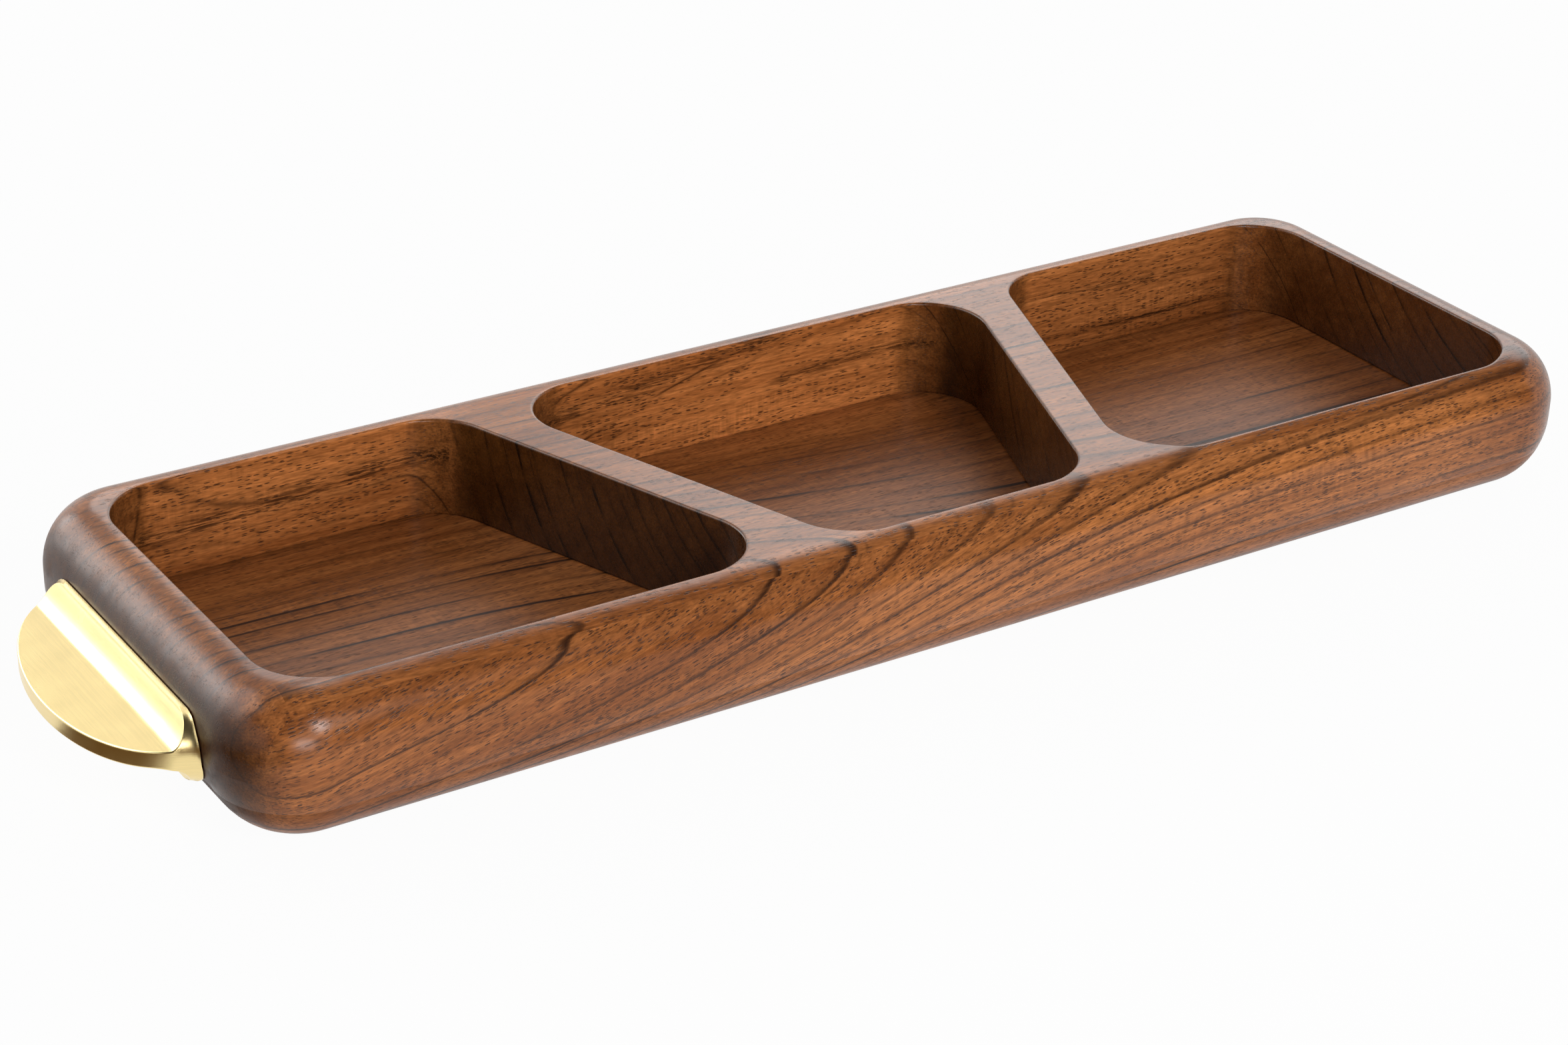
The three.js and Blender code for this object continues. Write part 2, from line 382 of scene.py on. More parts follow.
def add_ring(mesh_maker, points, heights):
    """Adds one closed ring of vertices; heights is one height or one for each point."""
    if isinstance(heights, float):
        heights = [heights] * len(points)
    return [mesh_maker.verts.new((point.x, point.y, height)) for point, height in zip(points, heights)]


def bridge(mesh_maker, rings):
    """Joins closed rings of equal length, each to the next one, with bands of faces."""
    for lower, upper in zip(rings, rings[1:]):
        for index in range(len(lower)):
            before = index - 1
            mesh_maker.faces.new((lower[before], lower[index], upper[index], upper[before]))


def fill_between(mesh_maker, shape, outer, holes, loose, reach):
    """Fills the area between an outer ring and the pockets with triangles that reuse the vertices."""
    vertices = list(outer)
    edges = [(index - 1 if index else len(outer) - 1, index) for index in range(len(outer))]
    for hole in holes:
        first = len(vertices)
        vertices.extend(hole)
        last = len(vertices) - 1
        edges.extend((index - 1 if index > first else last, index) for index in range(first, last + 1))
    vertices.extend(loose)
    flat = [vertex.co.xy for vertex in vertices]
    result = delaunay_2d_cdt(flat, edges, [], KEEP_INSIDE, SAME_POINT)
    places, triangles, origins = result[0], result[2], result[3]
    for triangle in triangles:
        middle = (places[triangle[0]] + places[triangle[1]] + places[triangle[2]]) / 3
        if shape.clear_of_pockets(middle, reach):
            mesh_maker.faces.new([vertices[origins[index][0]] for index in triangle])


def finished_mesh(mesh_maker, name):
    """Turns a bmesh into a named mesh with outward faces, smooth shading and crisp corners."""
    bmesh.ops.recalc_face_normals(mesh_maker, faces=mesh_maker.faces)
    mesh = bpy.data.meshes.new(name)
    mesh_maker.to_mesh(mesh)
    mesh_maker.free()
    mesh.shade_smooth()
    mesh.set_sharp_from_angle(angle=SHARP_ANGLE)
    return mesh


def add_piece(name, mesh, material, slot, *nodes):
    """Puts a finished mesh into the scene as a piece that stands for CAD nodes."""
    piece = bpy.data.objects.new(name, mesh)
    bpy.context.scene.collection.objects.link(piece)
    if material.name not in mesh.materials:
        mesh.materials.append(material)
    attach(piece, BODY)
    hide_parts(*nodes)
    return piece


def add_rows(mesh_maker, shape, heights):
    """Adds the block's outer skin as rings at the given heights and joins them."""
    rows = [add_ring(mesh_maker, shape.outline(shape.inset_at(height)), height) for height in heights]
    bridge(mesh_maker, rows)
    return rows


def add_pocket(mesh_maker, shape, pocket):
    """Adds a pocket's wall from its shadow joint to its eased rim; returns its lowest and highest ring."""
    body = shape.body
    floor = body.floor_height
    tops = [shape.top_at(point) for point in shape.pocket_loop(pocket, body.rim_ease)]
    levels = [
        (JOINT_DEPTH, floor),
        (JOINT_DEPTH, floor + JOINT_HEIGHT),
        (0.0, floor + JOINT_HEIGHT),
        (0.0, [top - body.rim_ease - RIM_BAND for top in tops]),
    ]
    for step in range(RIM_STEPS + 1):
        bearing = math.pi / 2 * step / RIM_STEPS
        growth = body.rim_ease * (1.0 - math.cos(bearing))
        levels.append((growth, [top - body.rim_ease * (1.0 - math.sin(bearing)) for top in tops]))
    rings = [add_ring(mesh_maker, shape.pocket_loop(pocket, growth), heights) for growth, heights in levels]
    band = shape.pocket_loop(pocket, body.rim_ease + RIM_BAND)
    rings.append(add_ring(mesh_maker, band, [shape.top_at(point) for point in band]))
    bridge(mesh_maker, rings)
    return rings[0], rings[-1]


def frame_mesh(body):
    """The block above its floor: outer skin, top, pocket walls with eased rims, and underside."""
    shape = BlockShape(body)
    maker = bmesh.new()
    seam = body.floor_height + SEAM_ROW
    heights = [body.floor_height, seam, *shape.foot_heights(seam, body.foot_up), body.foot_up]
    for step in range(body.round_steps + 1):
        bearing = math.pi / 2 * SHOULDER_SHARE * step / body.round_steps
        heights.append(shape.shoulder_start + body.shoulder_down * math.sin(bearing))
    rows = add_rows(maker, shape, heights)
    feet, mouths = zip(*[add_pocket(maker, shape, pocket) for pocket in shape.pockets])

    mouth_reach = body.pocket_radius + body.rim_ease + RIM_BAND
    inner_edge = shape.inset_at(heights[-1])
    loose = []
    for band in range(1, TOP_BANDS + 1):
        inset = inner_edge + (body.shoulder_in - inner_edge) * band / TOP_BANDS
        for point in shape.outline(inset):
            if shape.clear_of_pockets(point, mouth_reach + RIM_BAND):
                loose.append(maker.verts.new((point.x, point.y, shape.top_at(point))))
    fill_between(maker, shape, rows[-1], mouths, loose, mouth_reach)
    fill_between(maker, shape, rows[0], feet, [], body.pocket_radius + JOINT_DEPTH)
    return finished_mesh(maker, "tray_body")


def floor_mesh(body):
    """The block below the pocket floors, down to its rounded foot."""
    shape = BlockShape(body)
    maker = bmesh.new()
    top = body.floor_height
    heights = [0.0, *shape.foot_heights(0.0, top - SEAM_ROW), top - SEAM_ROW, top]
    rows = add_rows(maker, shape, heights)
    maker.faces.new(rows[0])
    maker.faces.new(rows[-1])
    return finished_mesh(maker, "tray_floor")


def cove(at, start, end):
    """Share of a hollow curve that is left at a place: 1 at its start and 0 at its end."""
    rest = min(max((end - at) / (end - start), 0.0), 1.0)
    return 1.0 - math.sqrt(1.0 - rest * rest)


# Facets of the handle, the least share of its edge ease, and the step that measures a slope
FOOT_STEPS = 4
FACET_STEPS = 6
BEND_STEPS = 10
TAB_STEPS = 44
EDGE_STEPS = 4
SIDE_STEPS = 16
LEAST_EASE = 0.15
SLOPE_STEP = 0.001 * MM


class HandleShape:
    """The right handle's outline and section, worked out from its settings."""

    def __init__(self, handle, block):
        self.handle = handle
        self.block = block
        self.face = block.body.length / 2

    def half_length(self, out):
        """Half the handle's length at a distance out from the wood."""
        handle = self.handle
        share = min(max(out, 0.0) / handle.tab_reach, 1.0)
        flare = (handle.foot_length - handle.tab_length) / 2 * cove(out, 0.0, handle.foot_depth)
        return handle.tab_length / 2 * math.sqrt(1.0 - share * share) + flare

    def outline_normal(self, out):
        """Outward direction of the outline in plan, as a share out and a share along the wood."""
        if out >= self.handle.tab_reach - SLOPE_STEP:
            return 1.0, 0.0
        slope = (self.half_length(out + SLOPE_STEP) - self.half_length(out)) / SLOPE_STEP
        size = math.hypot(slope, 1.0)
        return -slope / size, 1.0 / size

    def level(self, out):
        """Height of the tab's middle plane above the foot's middle."""
        return self.handle.tab_raise - out * math.tan(self.handle.tab_droop)

    def facet_share(self, out):
        """Share of the facet's height that is left at a distance out, with a soft bend at its end."""
        length = self.handle.facet_reach - self.handle.foot_edge
        bend = self.handle.facet_bend
        rest = self.handle.facet_reach - out
        if rest >= bend:
            return min(rest / length, 1.0)
        if rest <= -bend:
            return 0.0
        return (rest + bend) ** 2 / (4 * bend * length)

    def top(self, out):
        """Upper surface, above the foot's middle."""
        handle = self.handle
        tab = self.level(out) + handle.tab_thickness / 2
        return tab + (handle.foot_height / 2 - tab) * self.facet_share(out)

    def bottom(self, out):
        """Lower surface, above the foot's middle."""
        handle = self.handle
        root = cove(out, handle.foot_edge, handle.foot_edge + handle.cove_below)
        tab = self.level(out) - handle.tab_thickness / 2
        return tab + (-handle.foot_height / 2 - tab) * root

    def stations(self):
        """Distances out from the wood at which the outline has a point."""
        handle = self.handle
        bend_start = handle.facet_reach - handle.facet_bend
        outs = []
        for step in range(FACET_STEPS):
            outs.append(handle.foot_edge + (bend_start - handle.foot_edge) * step / FACET_STEPS)
        for step in range(BEND_STEPS + 1):
            outs.append(bend_start + 2 * handle.facet_bend * step / BEND_STEPS)
        start = math.asin(outs[-1] / handle.tab_reach)
        for step in range(1, TAB_STEPS + 1):
            bearing = start + (math.pi / 2 - start) * step / TAB_STEPS
            outs.append(handle.tab_reach * math.sin(bearing))
        return outs

    def column(self, out):
        """Points from the top edge to the bottom edge at one place of the outline, on its +Y side."""
        handle = self.handle
        normal_out, normal_along = self.outline_normal(out)
        half = self.half_length(out)
        beyond_foot = (out - handle.foot_edge) / (handle.foot_depth - handle.foot_edge)
        ease = handle.edge_ease * min(max(beyond_foot, LEAST_EASE), 1.0)
        high = self.top(out) - ease
        low = self.bottom(out) + ease

        def edge_point(bearing, surface, side):
            inward = ease * (1.0 - math.cos(bearing))
            at = out - normal_out * inward
            return at, half - normal_along * inward, surface(at) + side * ease * (1.0 - math.sin(bearing))

        points = []
        for step in range(EDGE_STEPS):
            points.append(edge_point(math.pi / 2 * (1.0 - step / EDGE_STEPS), self.top, -1.0))
        for step in range(SIDE_STEPS + 1):
            share = math.cos(math.pi * step / SIDE_STEPS)
            points.append((out, half, (high + low) / 2 + (high - low) / 2 * share))
        for step in range(1, EDGE_STEPS + 1):
            points.append(edge_point(math.pi / 2 * step / EDGE_STEPS, self.bottom, 1.0))
        return [self.placed(*point) for point in points]

    def placed(self, out, along, up):
        """A point of the section in the tray's own frame, with the foot's ends rounded."""
        handle = self.handle
        radius = handle.foot_height / 2
        rise = min(abs(up), radius)
        foot_round = min(max((handle.foot_depth + handle.round_fade - out) / handle.round_fade, 0.0), 1.0)
        along -= foot_round * (radius - math.sqrt(radius * radius - rise * rise))
        return Vector((self.face + out, max(along, 0.0), handle.height + up))

    def foot_columns(self):
        """Columns of the foot's edge, from where it meets the wood almost to its thin upper edge."""
        handle = self.handle
        levels = [point.z - handle.height for point in self.column(handle.foot_edge)]
        columns = []
        for step in range(FOOT_STEPS):
            points = []
            for up in levels:
                wood = handle.glue_gap - self.block.inset_at(handle.height + up)
                out = wood + (handle.foot_edge - wood) * step / FOOT_STEPS
                points.append(self.placed(out, self.half_length(out), up))
            columns.append(points)
        return columns


def mirrored_column(maker, points):
    """Adds a column of vertices and its mirror image across the tray's long middle plane."""
    far = [maker.verts.new(point) for point in points]
    near = [maker.verts.new((point.x, -point.y, point.z)) for point in points]
    return far, near


def handle_mesh(handle, body, turn, name):
    """One handle, turned about the tray's middle to its own end."""
    shape = HandleShape(handle, BlockShape(body))
    maker = bmesh.new()
    pairs = [mirrored_column(maker, points) for points in shape.foot_columns()]
    outs = shape.stations()
    for out in outs[:-1]:
        pairs.append(mirrored_column(maker, shape.column(out)))
    tip = [maker.verts.new(point) for point in shape.column(outs[-1])]
    pairs.append((tip, tip))
    last_row = len(tip) - 1

    def add_face(*corners):
        unique = list(dict.fromkeys(corners))
        if len(unique) > 2:
            maker.faces.new(unique)

    for (far, near), (next_far, next_near) in zip(pairs, pairs[1:]):
        for row in range(last_row):
            add_face(far[row], far[row + 1], next_far[row + 1], next_far[row])
            add_face(near[row], next_near[row], next_near[row + 1], near[row + 1])
        add_face(far[0], next_far[0], next_near[0], near[0])
        add_face(far[last_row], near[last_row], next_near[last_row], next_far[last_row])
    far, near = pairs[0]
    for row in range(last_row):
        add_face(far[row], near[row], near[row + 1], far[row + 1])
    bmesh.ops.rotate(maker, verts=maker.verts, cent=(0, 0, 0), matrix=Matrix.Rotation(turn, 3, "Z"))
    return finished_mesh(maker, name)


class NodeMaker:
    """Adds nodes to one tree, so that a formula reads as a chain of calls."""

    COLUMN_WIDTH = 180.0
    ROW_HEIGHT = 60.0
    ROWS = 5

    def __init__(self, tree):
        self.tree = tree
        self.count = 0

    def add(self, kind, **settings):
        """Adds a node and sets its options."""
        node = self.tree.nodes.new(kind)
        node.location = (self.COLUMN_WIDTH * self.count, -self.ROW_HEIGHT * (self.count % self.ROWS))
        self.count += 1
        for name, value in settings.items():
            setattr(node, name, value)
        return node

    def feed(self, socket, value):
        """Links a socket to another, or gives it a value."""
        if isinstance(value, bpy.types.NodeSocket):
            self.tree.links.new(value, socket)
        else:
            socket.default_value = value

    def math(self, operation, *values):
        """A Math node's result."""
        node = self.add("ShaderNodeMath", operation=operation)
        for socket, value in zip(node.inputs, values):
            self.feed(socket, value)
        return node.outputs["Value"]

    def product(self, first, *others):
        """Several values multiplied."""
        for other in others:
            first = self.math("MULTIPLY", first, other)
        return first

    def vector(self, operation, *values, scale=None):
        """A Vector Math node's result, a vector or a value."""
        node = self.add("ShaderNodeVectorMath", operation=operation)
        for socket, value in zip(node.inputs, values):
            self.feed(socket, value)
        if scale is not None:
            self.feed(node.inputs["Scale"], scale)
        return node.outputs["Value" if operation == "LENGTH" else "Vector"]

    def separate(self, vector):
        """A vector's three parts."""
        node = self.add("ShaderNodeSeparateXYZ")
        self.feed(node.inputs["Vector"], vector)
        return node.outputs["X"], node.outputs["Y"], node.outputs["Z"]

    def combine(self, x, y, z):
        """A vector from its three parts."""
        node = self.add("ShaderNodeCombineXYZ")
        for socket, value in zip(node.inputs, (x, y, z)):
            self.feed(socket, value)
        return node.outputs["Vector"]

    def noise(self, vector, stretch, detail=2.0, roughness=0.5):
        """Cloudy noise from 0 to 1, with one size for each axis of the vector."""
        node = self.add("ShaderNodeTexNoise")
        scaled = self.vector("DIVIDE", vector, stretch)
        self.feed(node.inputs["Vector"], scaled)
        self.feed(node.inputs["Scale"], 1.0)
        self.feed(node.inputs["Detail"], detail)
        self.feed(node.inputs["Roughness"], roughness)
        return node.outputs["Fac"]

    def ramp_between(self, value, low, high, to_low=0.0, to_high=1.0, smooth=True):
        """A value's place between two limits, held inside a new range."""
        node = self.add("ShaderNodeMapRange", clamp=True)
        node.interpolation_type = "SMOOTHSTEP" if smooth else "LINEAR"
        for name, number in (
            ("Value", value),
            ("From Min", low),
            ("From Max", high),
            ("To Min", to_low),
            ("To Max", to_high),
        ):
            self.feed(node.inputs[name], number)
        return node.outputs["Result"]

    def patches(self, vector, look, least=None):
        """Soft patches of noise, from a least to a most value."""
        cloud = self.noise(vector, look.size, look.detail, look.roughness)
        lowest = look.least if least is None else least
        return self.ramp_between(cloud, look.start, look.full, lowest, look.most)

    def steps(self, value, stops, interpolation="LINEAR"):
        """A grey level read from a ramp of (place, level) stops."""
        node = self.add("ShaderNodeValToRGB")
        ramp = node.color_ramp
        ramp.interpolation = interpolation
        while len(ramp.elements) < len(stops):
            ramp.elements.new(1.0)
        for element, (place, level) in zip(ramp.elements, stops):
            element.position = place
            element.color = (level, level, level, 1.0)
        self.feed(node.inputs["Fac"], value)
        return node.outputs["Color"]

    def curve(self, value, points):
        """A value read from a curve of straight runs between (place, level) points."""
        node = self.add("ShaderNodeFloatCurve")
        line = node.mapping.curves[0]
        while len(line.points) < len(points):
            line.points.new(1.0, 1.0)
        for point, (place, level) in zip(line.points, points):
            point.location = (place, level)
            point.handle_type = "VECTOR"
        node.mapping.update()
        self.feed(node.inputs["Value"], value)
        return node.outputs["Value"]

    def blend(self, share, first, second, blend_type="MIX"):
        """A colour between two colours."""
        node = self.add("ShaderNodeMix", data_type="RGBA", blend_type=blend_type)
        sockets = [socket for socket in node.inputs if socket.enabled]
        for socket, value in zip(sockets, (share, first, second)):
            self.feed(socket, value)
        return next(socket for socket in node.outputs if socket.enabled)

    def mix_shader(self, share, first, second):
        """A shader between two shaders."""
        node = self.add("ShaderNodeMixShader")
        for socket, value in zip(node.inputs, (share, first, second)):
            self.feed(socket, value)
        return node.outputs["Shader"]

    def bump(self, height, strength, depth):
        """A normal that follows a height."""
        node = self.add("ShaderNodeBump")
        for name, value in (("Height", height), ("Strength", strength), ("Distance", depth)):
            self.feed(node.inputs[name], value)
        return node.outputs["Normal"]


def opaque(shade):
    """A colour property as a colour with full alpha."""
    return (shade[0], shade[1], shade[2], 1.0)


def new_group(name, inputs, outputs):
    """A new shader group with named sockets; returns its maker, input node and output node."""
    tree = bpy.data.node_groups.new(name, "ShaderNodeTree")
    for label, kind in inputs:
        tree.interface.new_socket(name=label, in_out="INPUT", socket_type=kind)
    for label, kind in outputs:
        tree.interface.new_socket(name=label, in_out="OUTPUT", socket_type=kind)
    maker = NodeMaker(tree)
    start = maker.add("NodeGroupInput")
    end = maker.add("NodeGroupOutput")
    return maker, start, end


# Noise that comes and goes: its size along each axis in millimetres, the noise levels at which it starts
# and is full, and the values that it gives below and above them
Patches = namedtuple("Patches", "size start full least most detail roughness", defaults=(0.0, 1.0, 2.0, 0.5))

# Heart line of the log that the block was cut from, in millimetres, as it climbs, sways and bends along X
HEART_Y = -81.8
HEART_Y_SLOPE = 0.03
HEART_Z = 94.3
HEART_RISE = 0.273
HEART_RISE_END = 28.5
HEART_RISE_SOFTNESS = 120.0
HEART_Z_SLOPE = 0.029
HEART_SWAY = (0.0, 3.67, -3.45)
HEART_SWAY_X = -85.0
HEART_SWAY_LENGTH = 70.0
HEART_BEND_X = -182.0
HEART_BEND_SOFTNESS = 10.0
HEART_BEND = 0.4
# Wander of the rings, in millimetres
BROAD_WANDER = 1.2
BROAD_WANDER_SIZE = (150.0, 40.0, 40.0)
FINE_WANDER = 0.5
FINE_WANDER_SIZE = (26.0, 5.0, 5.0)
# Fibres follow the heart line on the front, which lies before this place along Y
FRONT_SKIN = -61.5
# The innermost rings bend where the front turns into the top, and their lines are narrower
SHOULDER_TURN = 36.5
SHOULDER_SOFTNESS = 1.0
SHOULDER_PULL = 0.69
INNER_RINGS = (29.0, 46.0)
INNER_NARROWING = 2.0

# Growth ring lines: radius about the heart in millimetres, and strength
RINGS = (
    (27.9, 1.0), (33.7, 0.12), (40.2, 1.0), (46.8, 1.05), (51.7, 0.85), (57.7, 0.75),
    (63.0, 0.95), (67.0, 0.7), (71.5, 0.9), (75.5, 0.65), (79.9, 0.75), (84.5, 0.5),
    (88.0, 0.25), (92.0, 1.1), (95.9, 0.3), (99.8, 0.8), (103.7, 0.3), (108.3, 0.9),
    (113.0, 1.3), (118.0, 0.25), (123.0, 0.9), (127.5, 0.25), (131.7, 0.5),
)
LOG_RADIUS = 135.0
# Darkness across a ring line, at distances in millimetres from its middle
LINE_REACH = 3.0
LINE_PROFILE = (
    (-3.0, 0.0), (-1.6, 0.08), (-0.7, 0.26), (-0.3, 0.8), (0.0, 1.0), (0.2, 0.85), (0.4, 0.12), (1.2, 0.0),
)
LINE_FADING = Patches((80.0, 10.0, 10.0), 0.38, 0.58)
LINE_RAGGEDNESS = Patches((7.0, 0.9, 0.9), 0.3, 0.55, 0.8)
# Radii between which the lines' faintest share changes, and that share
FAINTER_RINGS = (76.0, 90.0)
FAINTEST = (0.78, 0.3)

# Thinner lines between the rings: darkness across a line's share of the spacing, and how rare strong ones are
THIN_RING_SPACING = 1.87
THIN_PROFILE = ((0.0, 0.0), (0.5, 0.15), (0.62, 1.0), (0.72, 0.2), (1.0, 0.0))
RARER_RINGS = (72.0, 92.0)
THIN_RARITY = (1.3, 4.0)
THIN_FADING = Patches((55.0, 7.0, 7.0), 0.36, 0.58, 0.18)
FAINT_THIN_RINGS = (38.0, 44.0)
FAINT_THIN_SHARE = 0.2

# Ragged streaks of the back wall, in millimetres: middle along X, height, slope, half length, width, strength
BACK_STREAKS = (
    (-135.0, 26.8, 0.076, 66.0, 3.0, 0.9),
    (-24.0, 34.2, 0.138, 48.0, 2.8, 0.75),
    (42.0, 27.5, 0.035, 34.0, 1.8, 0.8),
    (128.0, 30.3, -0.046, 46.0, 1.0, 0.6),
    (130.0, 17.8, 0.005, 52.0, 0.8, 1.0),
)
BACK_STREAKS_FROM = 49.0
STREAK_WOBBLE = 3.0
STREAK_WOBBLE_SIZE = (24.0, 6.0, 6.0)
STREAK_FULL_SHARE = 0.7
STREAK_DASHES = Patches((8.0, 0.7, 0.5), 0.42, 0.58, 0.08, 1.0, 3.0, 0.65)

# Deeper and paler ground, with more of the deep colour near the heart and at the right end
GROUND_STREAKS_SIZE = (110.0, 3.2, 3.2)
GROUND_CLOUDS_SIZE = (120.0, 22.0, 22.0)
GROUND_SHARE = 0.6
GROUND_RANGE = (0.4, 0.82)
HEARTWOOD_EDGE = 58.0
DEEPER_HEART = 0.1
DEEPER_RIGHT = (145.0, 185.0)
DEEPER_RIGHT_SHARE = 0.16

# Brightness of the ground: silk, flecks and patches of cross ripples
SILK_SIZE = (6.0, 0.6, 0.6)
SILK_LIFT = 1.4
LEAST_LIFT = -0.15
FLECK_SIZE = (2.6, 0.4, 0.4)
FLECK_LIFT = 0.9
RIPPLE_SIZE = (1.1, 9.0, 9.0)
RIPPLE_LIFT = 0.7
RIPPLE_PATCHES = Patches((45.0, 14.0, 14.0), 0.5, 0.66)
# The back wall's inner face is paler, partly as paler outer wood and partly as painted light on the face that
# the front lamps fall on: its place along Y, and where along X that starts and ends
BACK_WALL = (50.5, 53.0)
BACK_RIM = 55.0
PALER_AND_LIT_BACK_ENDS = (60.0, 140.0)
PALER_AND_LIT_BACK_STARTS = (-110.0, -50.0)
PALER_AND_LIT_BACK_LEAST = 0.55

# Pores: dashes in cells that crowd together, rarer away from the front
PORE_CELL = (2.3, 0.4, 0.4)
PORE_RANGE = (0.5, 0.3)
PORE_CROWD_SIZE = (14.0, 1.8, 1.8)
PORE_CROWDING = -2.4
PORE_RARITY = 1.66
RARER_OFF_FRONT = 0.2


def log_rings_group():
    """Place in the log that the block was cut from, in millimetres: ring radius and fibre place."""
    maker, start, end = new_group(
        "log_rings",
        [("Position", "NodeSocketVector")],
        [("Ring", "NodeSocketFloat"), ("Fibre", "NodeSocketVector"), ("Place", "NodeSocketVector")],
    )
    in_millimetres = maker.vector("SCALE", start.outputs["Position"], scale=1.0 / MM)
    x, y, z = maker.separate(in_millimetres)
    heart_y = maker.math("MULTIPLY_ADD", x, HEART_Y_SLOPE, HEART_Y)
    past_bend = maker.math("SMOOTH_MAX", maker.math("SUBTRACT", HEART_BEND_X, x), 0.0, HEART_BEND_SOFTNESS)
    heart_y = maker.math("MULTIPLY_ADD", past_bend, HEART_BEND, heart_y)
    rise = maker.math("SMOOTH_MIN", x, HEART_RISE_END, HEART_RISE_SOFTNESS)
    heart_z = maker.math("MULTIPLY_ADD", x, HEART_Z_SLOPE, HEART_Z)
    heart_z = maker.math("MULTIPLY_ADD", rise, HEART_RISE, heart_z)
    along = maker.math("DIVIDE", maker.math("SUBTRACT", x, HEART_SWAY_X), HEART_SWAY_LENGTH)
    swell = maker.math("EXPONENT", maker.product(along, along, -1.0))
    sway = maker.vector("SCALE", HEART_SWAY, scale=swell)
    heart = maker.vector("ADD", maker.combine(0.0, heart_y, heart_z), sway)
    from_heart = maker.vector("SUBTRACT", in_millimetres, heart)
    radius = maker.vector("LENGTH", maker.vector("MULTIPLY", from_heart, (0.0, 1.0, 1.0)))
    on_front = maker.math("LESS_THAN", y, FRONT_SKIN)
    fibre = maker.vector("SUBTRACT", in_millimetres, maker.vector("SCALE", heart, scale=on_front))
    on_shoulder = maker.math("SMOOTH_MAX", maker.math("SUBTRACT", z, SHOULDER_TURN), 0.0, SHOULDER_SOFTNESS)
    inner = maker.ramp_between(radius, *INNER_RINGS, 1.0, 0.0, smooth=False)
    turned = maker.product(on_shoulder, SHOULDER_PULL, inner)
    radius = maker.math("SUBTRACT", radius, turned)
    broad = maker.noise(fibre, BROAD_WANDER_SIZE, detail=1.0)
    fine = maker.noise(fibre, FINE_WANDER_SIZE)
    wander = maker.math("MULTIPLY_ADD", broad, BROAD_WANDER, -BROAD_WANDER / 2)
    wander = maker.math("ADD", wander, maker.math("MULTIPLY_ADD", fine, FINE_WANDER, -FINE_WANDER / 2))
    maker.feed(end.inputs["Ring"], maker.math("ADD", radius, wander))
    maker.feed(end.inputs["Fibre"], fibre)
    maker.feed(end.inputs["Place"], in_millimetres)
    return maker.tree


def ring_lines(maker, ring):
    """Darkness of the measured growth ring lines: a crisp line with a soft shade on its inner side."""
    count = len(RINGS)
    places = [(radius / LOG_RADIUS, (index + 1) / (count + 1)) for index, (radius, _) in enumerate(RINGS)]
    counted = maker.curve(maker.math("DIVIDE", ring, LOG_RADIUS), [(0.0, 0.0), *places])
    turns = maker.math("MULTIPLY_ADD", counted, count + 1.0, -0.5)
    number = maker.math("FLOOR", turns)
    share = maker.math("DIVIDE", maker.math("ADD", number, 0.5), count)
    radii = [(index / count, radius / LOG_RADIUS) for index, (radius, _) in enumerate(RINGS)]
    strengths = [(index / count, strength) for index, (_, strength) in enumerate(RINGS)]
    own_radius = maker.product(maker.steps(share, radii, "CONSTANT"), LOG_RADIUS)
    offset = maker.math("SUBTRACT", ring, own_radius)
    narrowed = maker.product(offset, maker.ramp_between(ring, *INNER_RINGS, INNER_NARROWING, 1.0))
    across = maker.math("MULTIPLY_ADD", narrowed, 0.5 / LINE_REACH, 0.5)
    profile = [((place + LINE_REACH) / (2 * LINE_REACH), level) for place, level in LINE_PROFILE]
    strength = maker.steps(share, strengths, "CONSTANT")
    return maker.product(maker.steps(across, profile), strength, maker.math("GREATER_THAN", turns, 0.0))


def back_streaks(maker, place):
    """Darkness of the ragged streaks that run along the back wall."""
    x, y, z = maker.separate(place)
    wobble_noise = maker.noise(place, STREAK_WOBBLE_SIZE)
    wobble = maker.math("MULTIPLY_ADD", wobble_noise, STREAK_WOBBLE, -STREAK_WOBBLE / 2)
    level = maker.math("ADD", z, wobble)
    darkest = 0.0
    for middle, height, slope, reach, width, strength in BACK_STREAKS:
        along = maker.math("SUBTRACT", x, middle)
        off = maker.math("SUBTRACT", level, maker.math("MULTIPLY_ADD", along, slope, height))
        across = maker.math("POWER", maker.math("DIVIDE", maker.math("ABSOLUTE", off), width), 2.0)
        band = maker.math("EXPONENT", maker.product(across, -1.0))
        from_middle = maker.math("ABSOLUTE", along)
        ends = maker.ramp_between(from_middle, reach, reach * STREAK_FULL_SHARE, 0.0, strength)
        darkest = maker.math("MAXIMUM", darkest, maker.product(band, ends))
    ragged = maker.patches(place, STREAK_DASHES)
    return maker.product(darkest, ragged, maker.math("GREATER_THAN", y, BACK_STREAKS_FROM))


def thin_lines(maker, ring, fibre):
    """Darkness of the thinner lines between the growth rings, each with a strength of its own."""
    turns = maker.math("DIVIDE", ring, THIN_RING_SPACING)
    line = maker.steps(maker.math("FRACT", turns), THIN_PROFILE)
    chance = maker.add("ShaderNodeTexWhiteNoise", noise_dimensions="1D")
    maker.feed(chance.inputs["W"], maker.math("FLOOR", turns))
    rarity = maker.ramp_between(ring, *RARER_RINGS, *THIN_RARITY)
    strength = maker.math("POWER", chance.outputs["Value"], rarity)
    near_heart = maker.ramp_between(ring, *FAINT_THIN_RINGS, FAINT_THIN_SHARE, 1.0)
    fading = maker.product(maker.patches(fibre, THIN_FADING), near_heart)
    return maker.product(line, strength, fading)


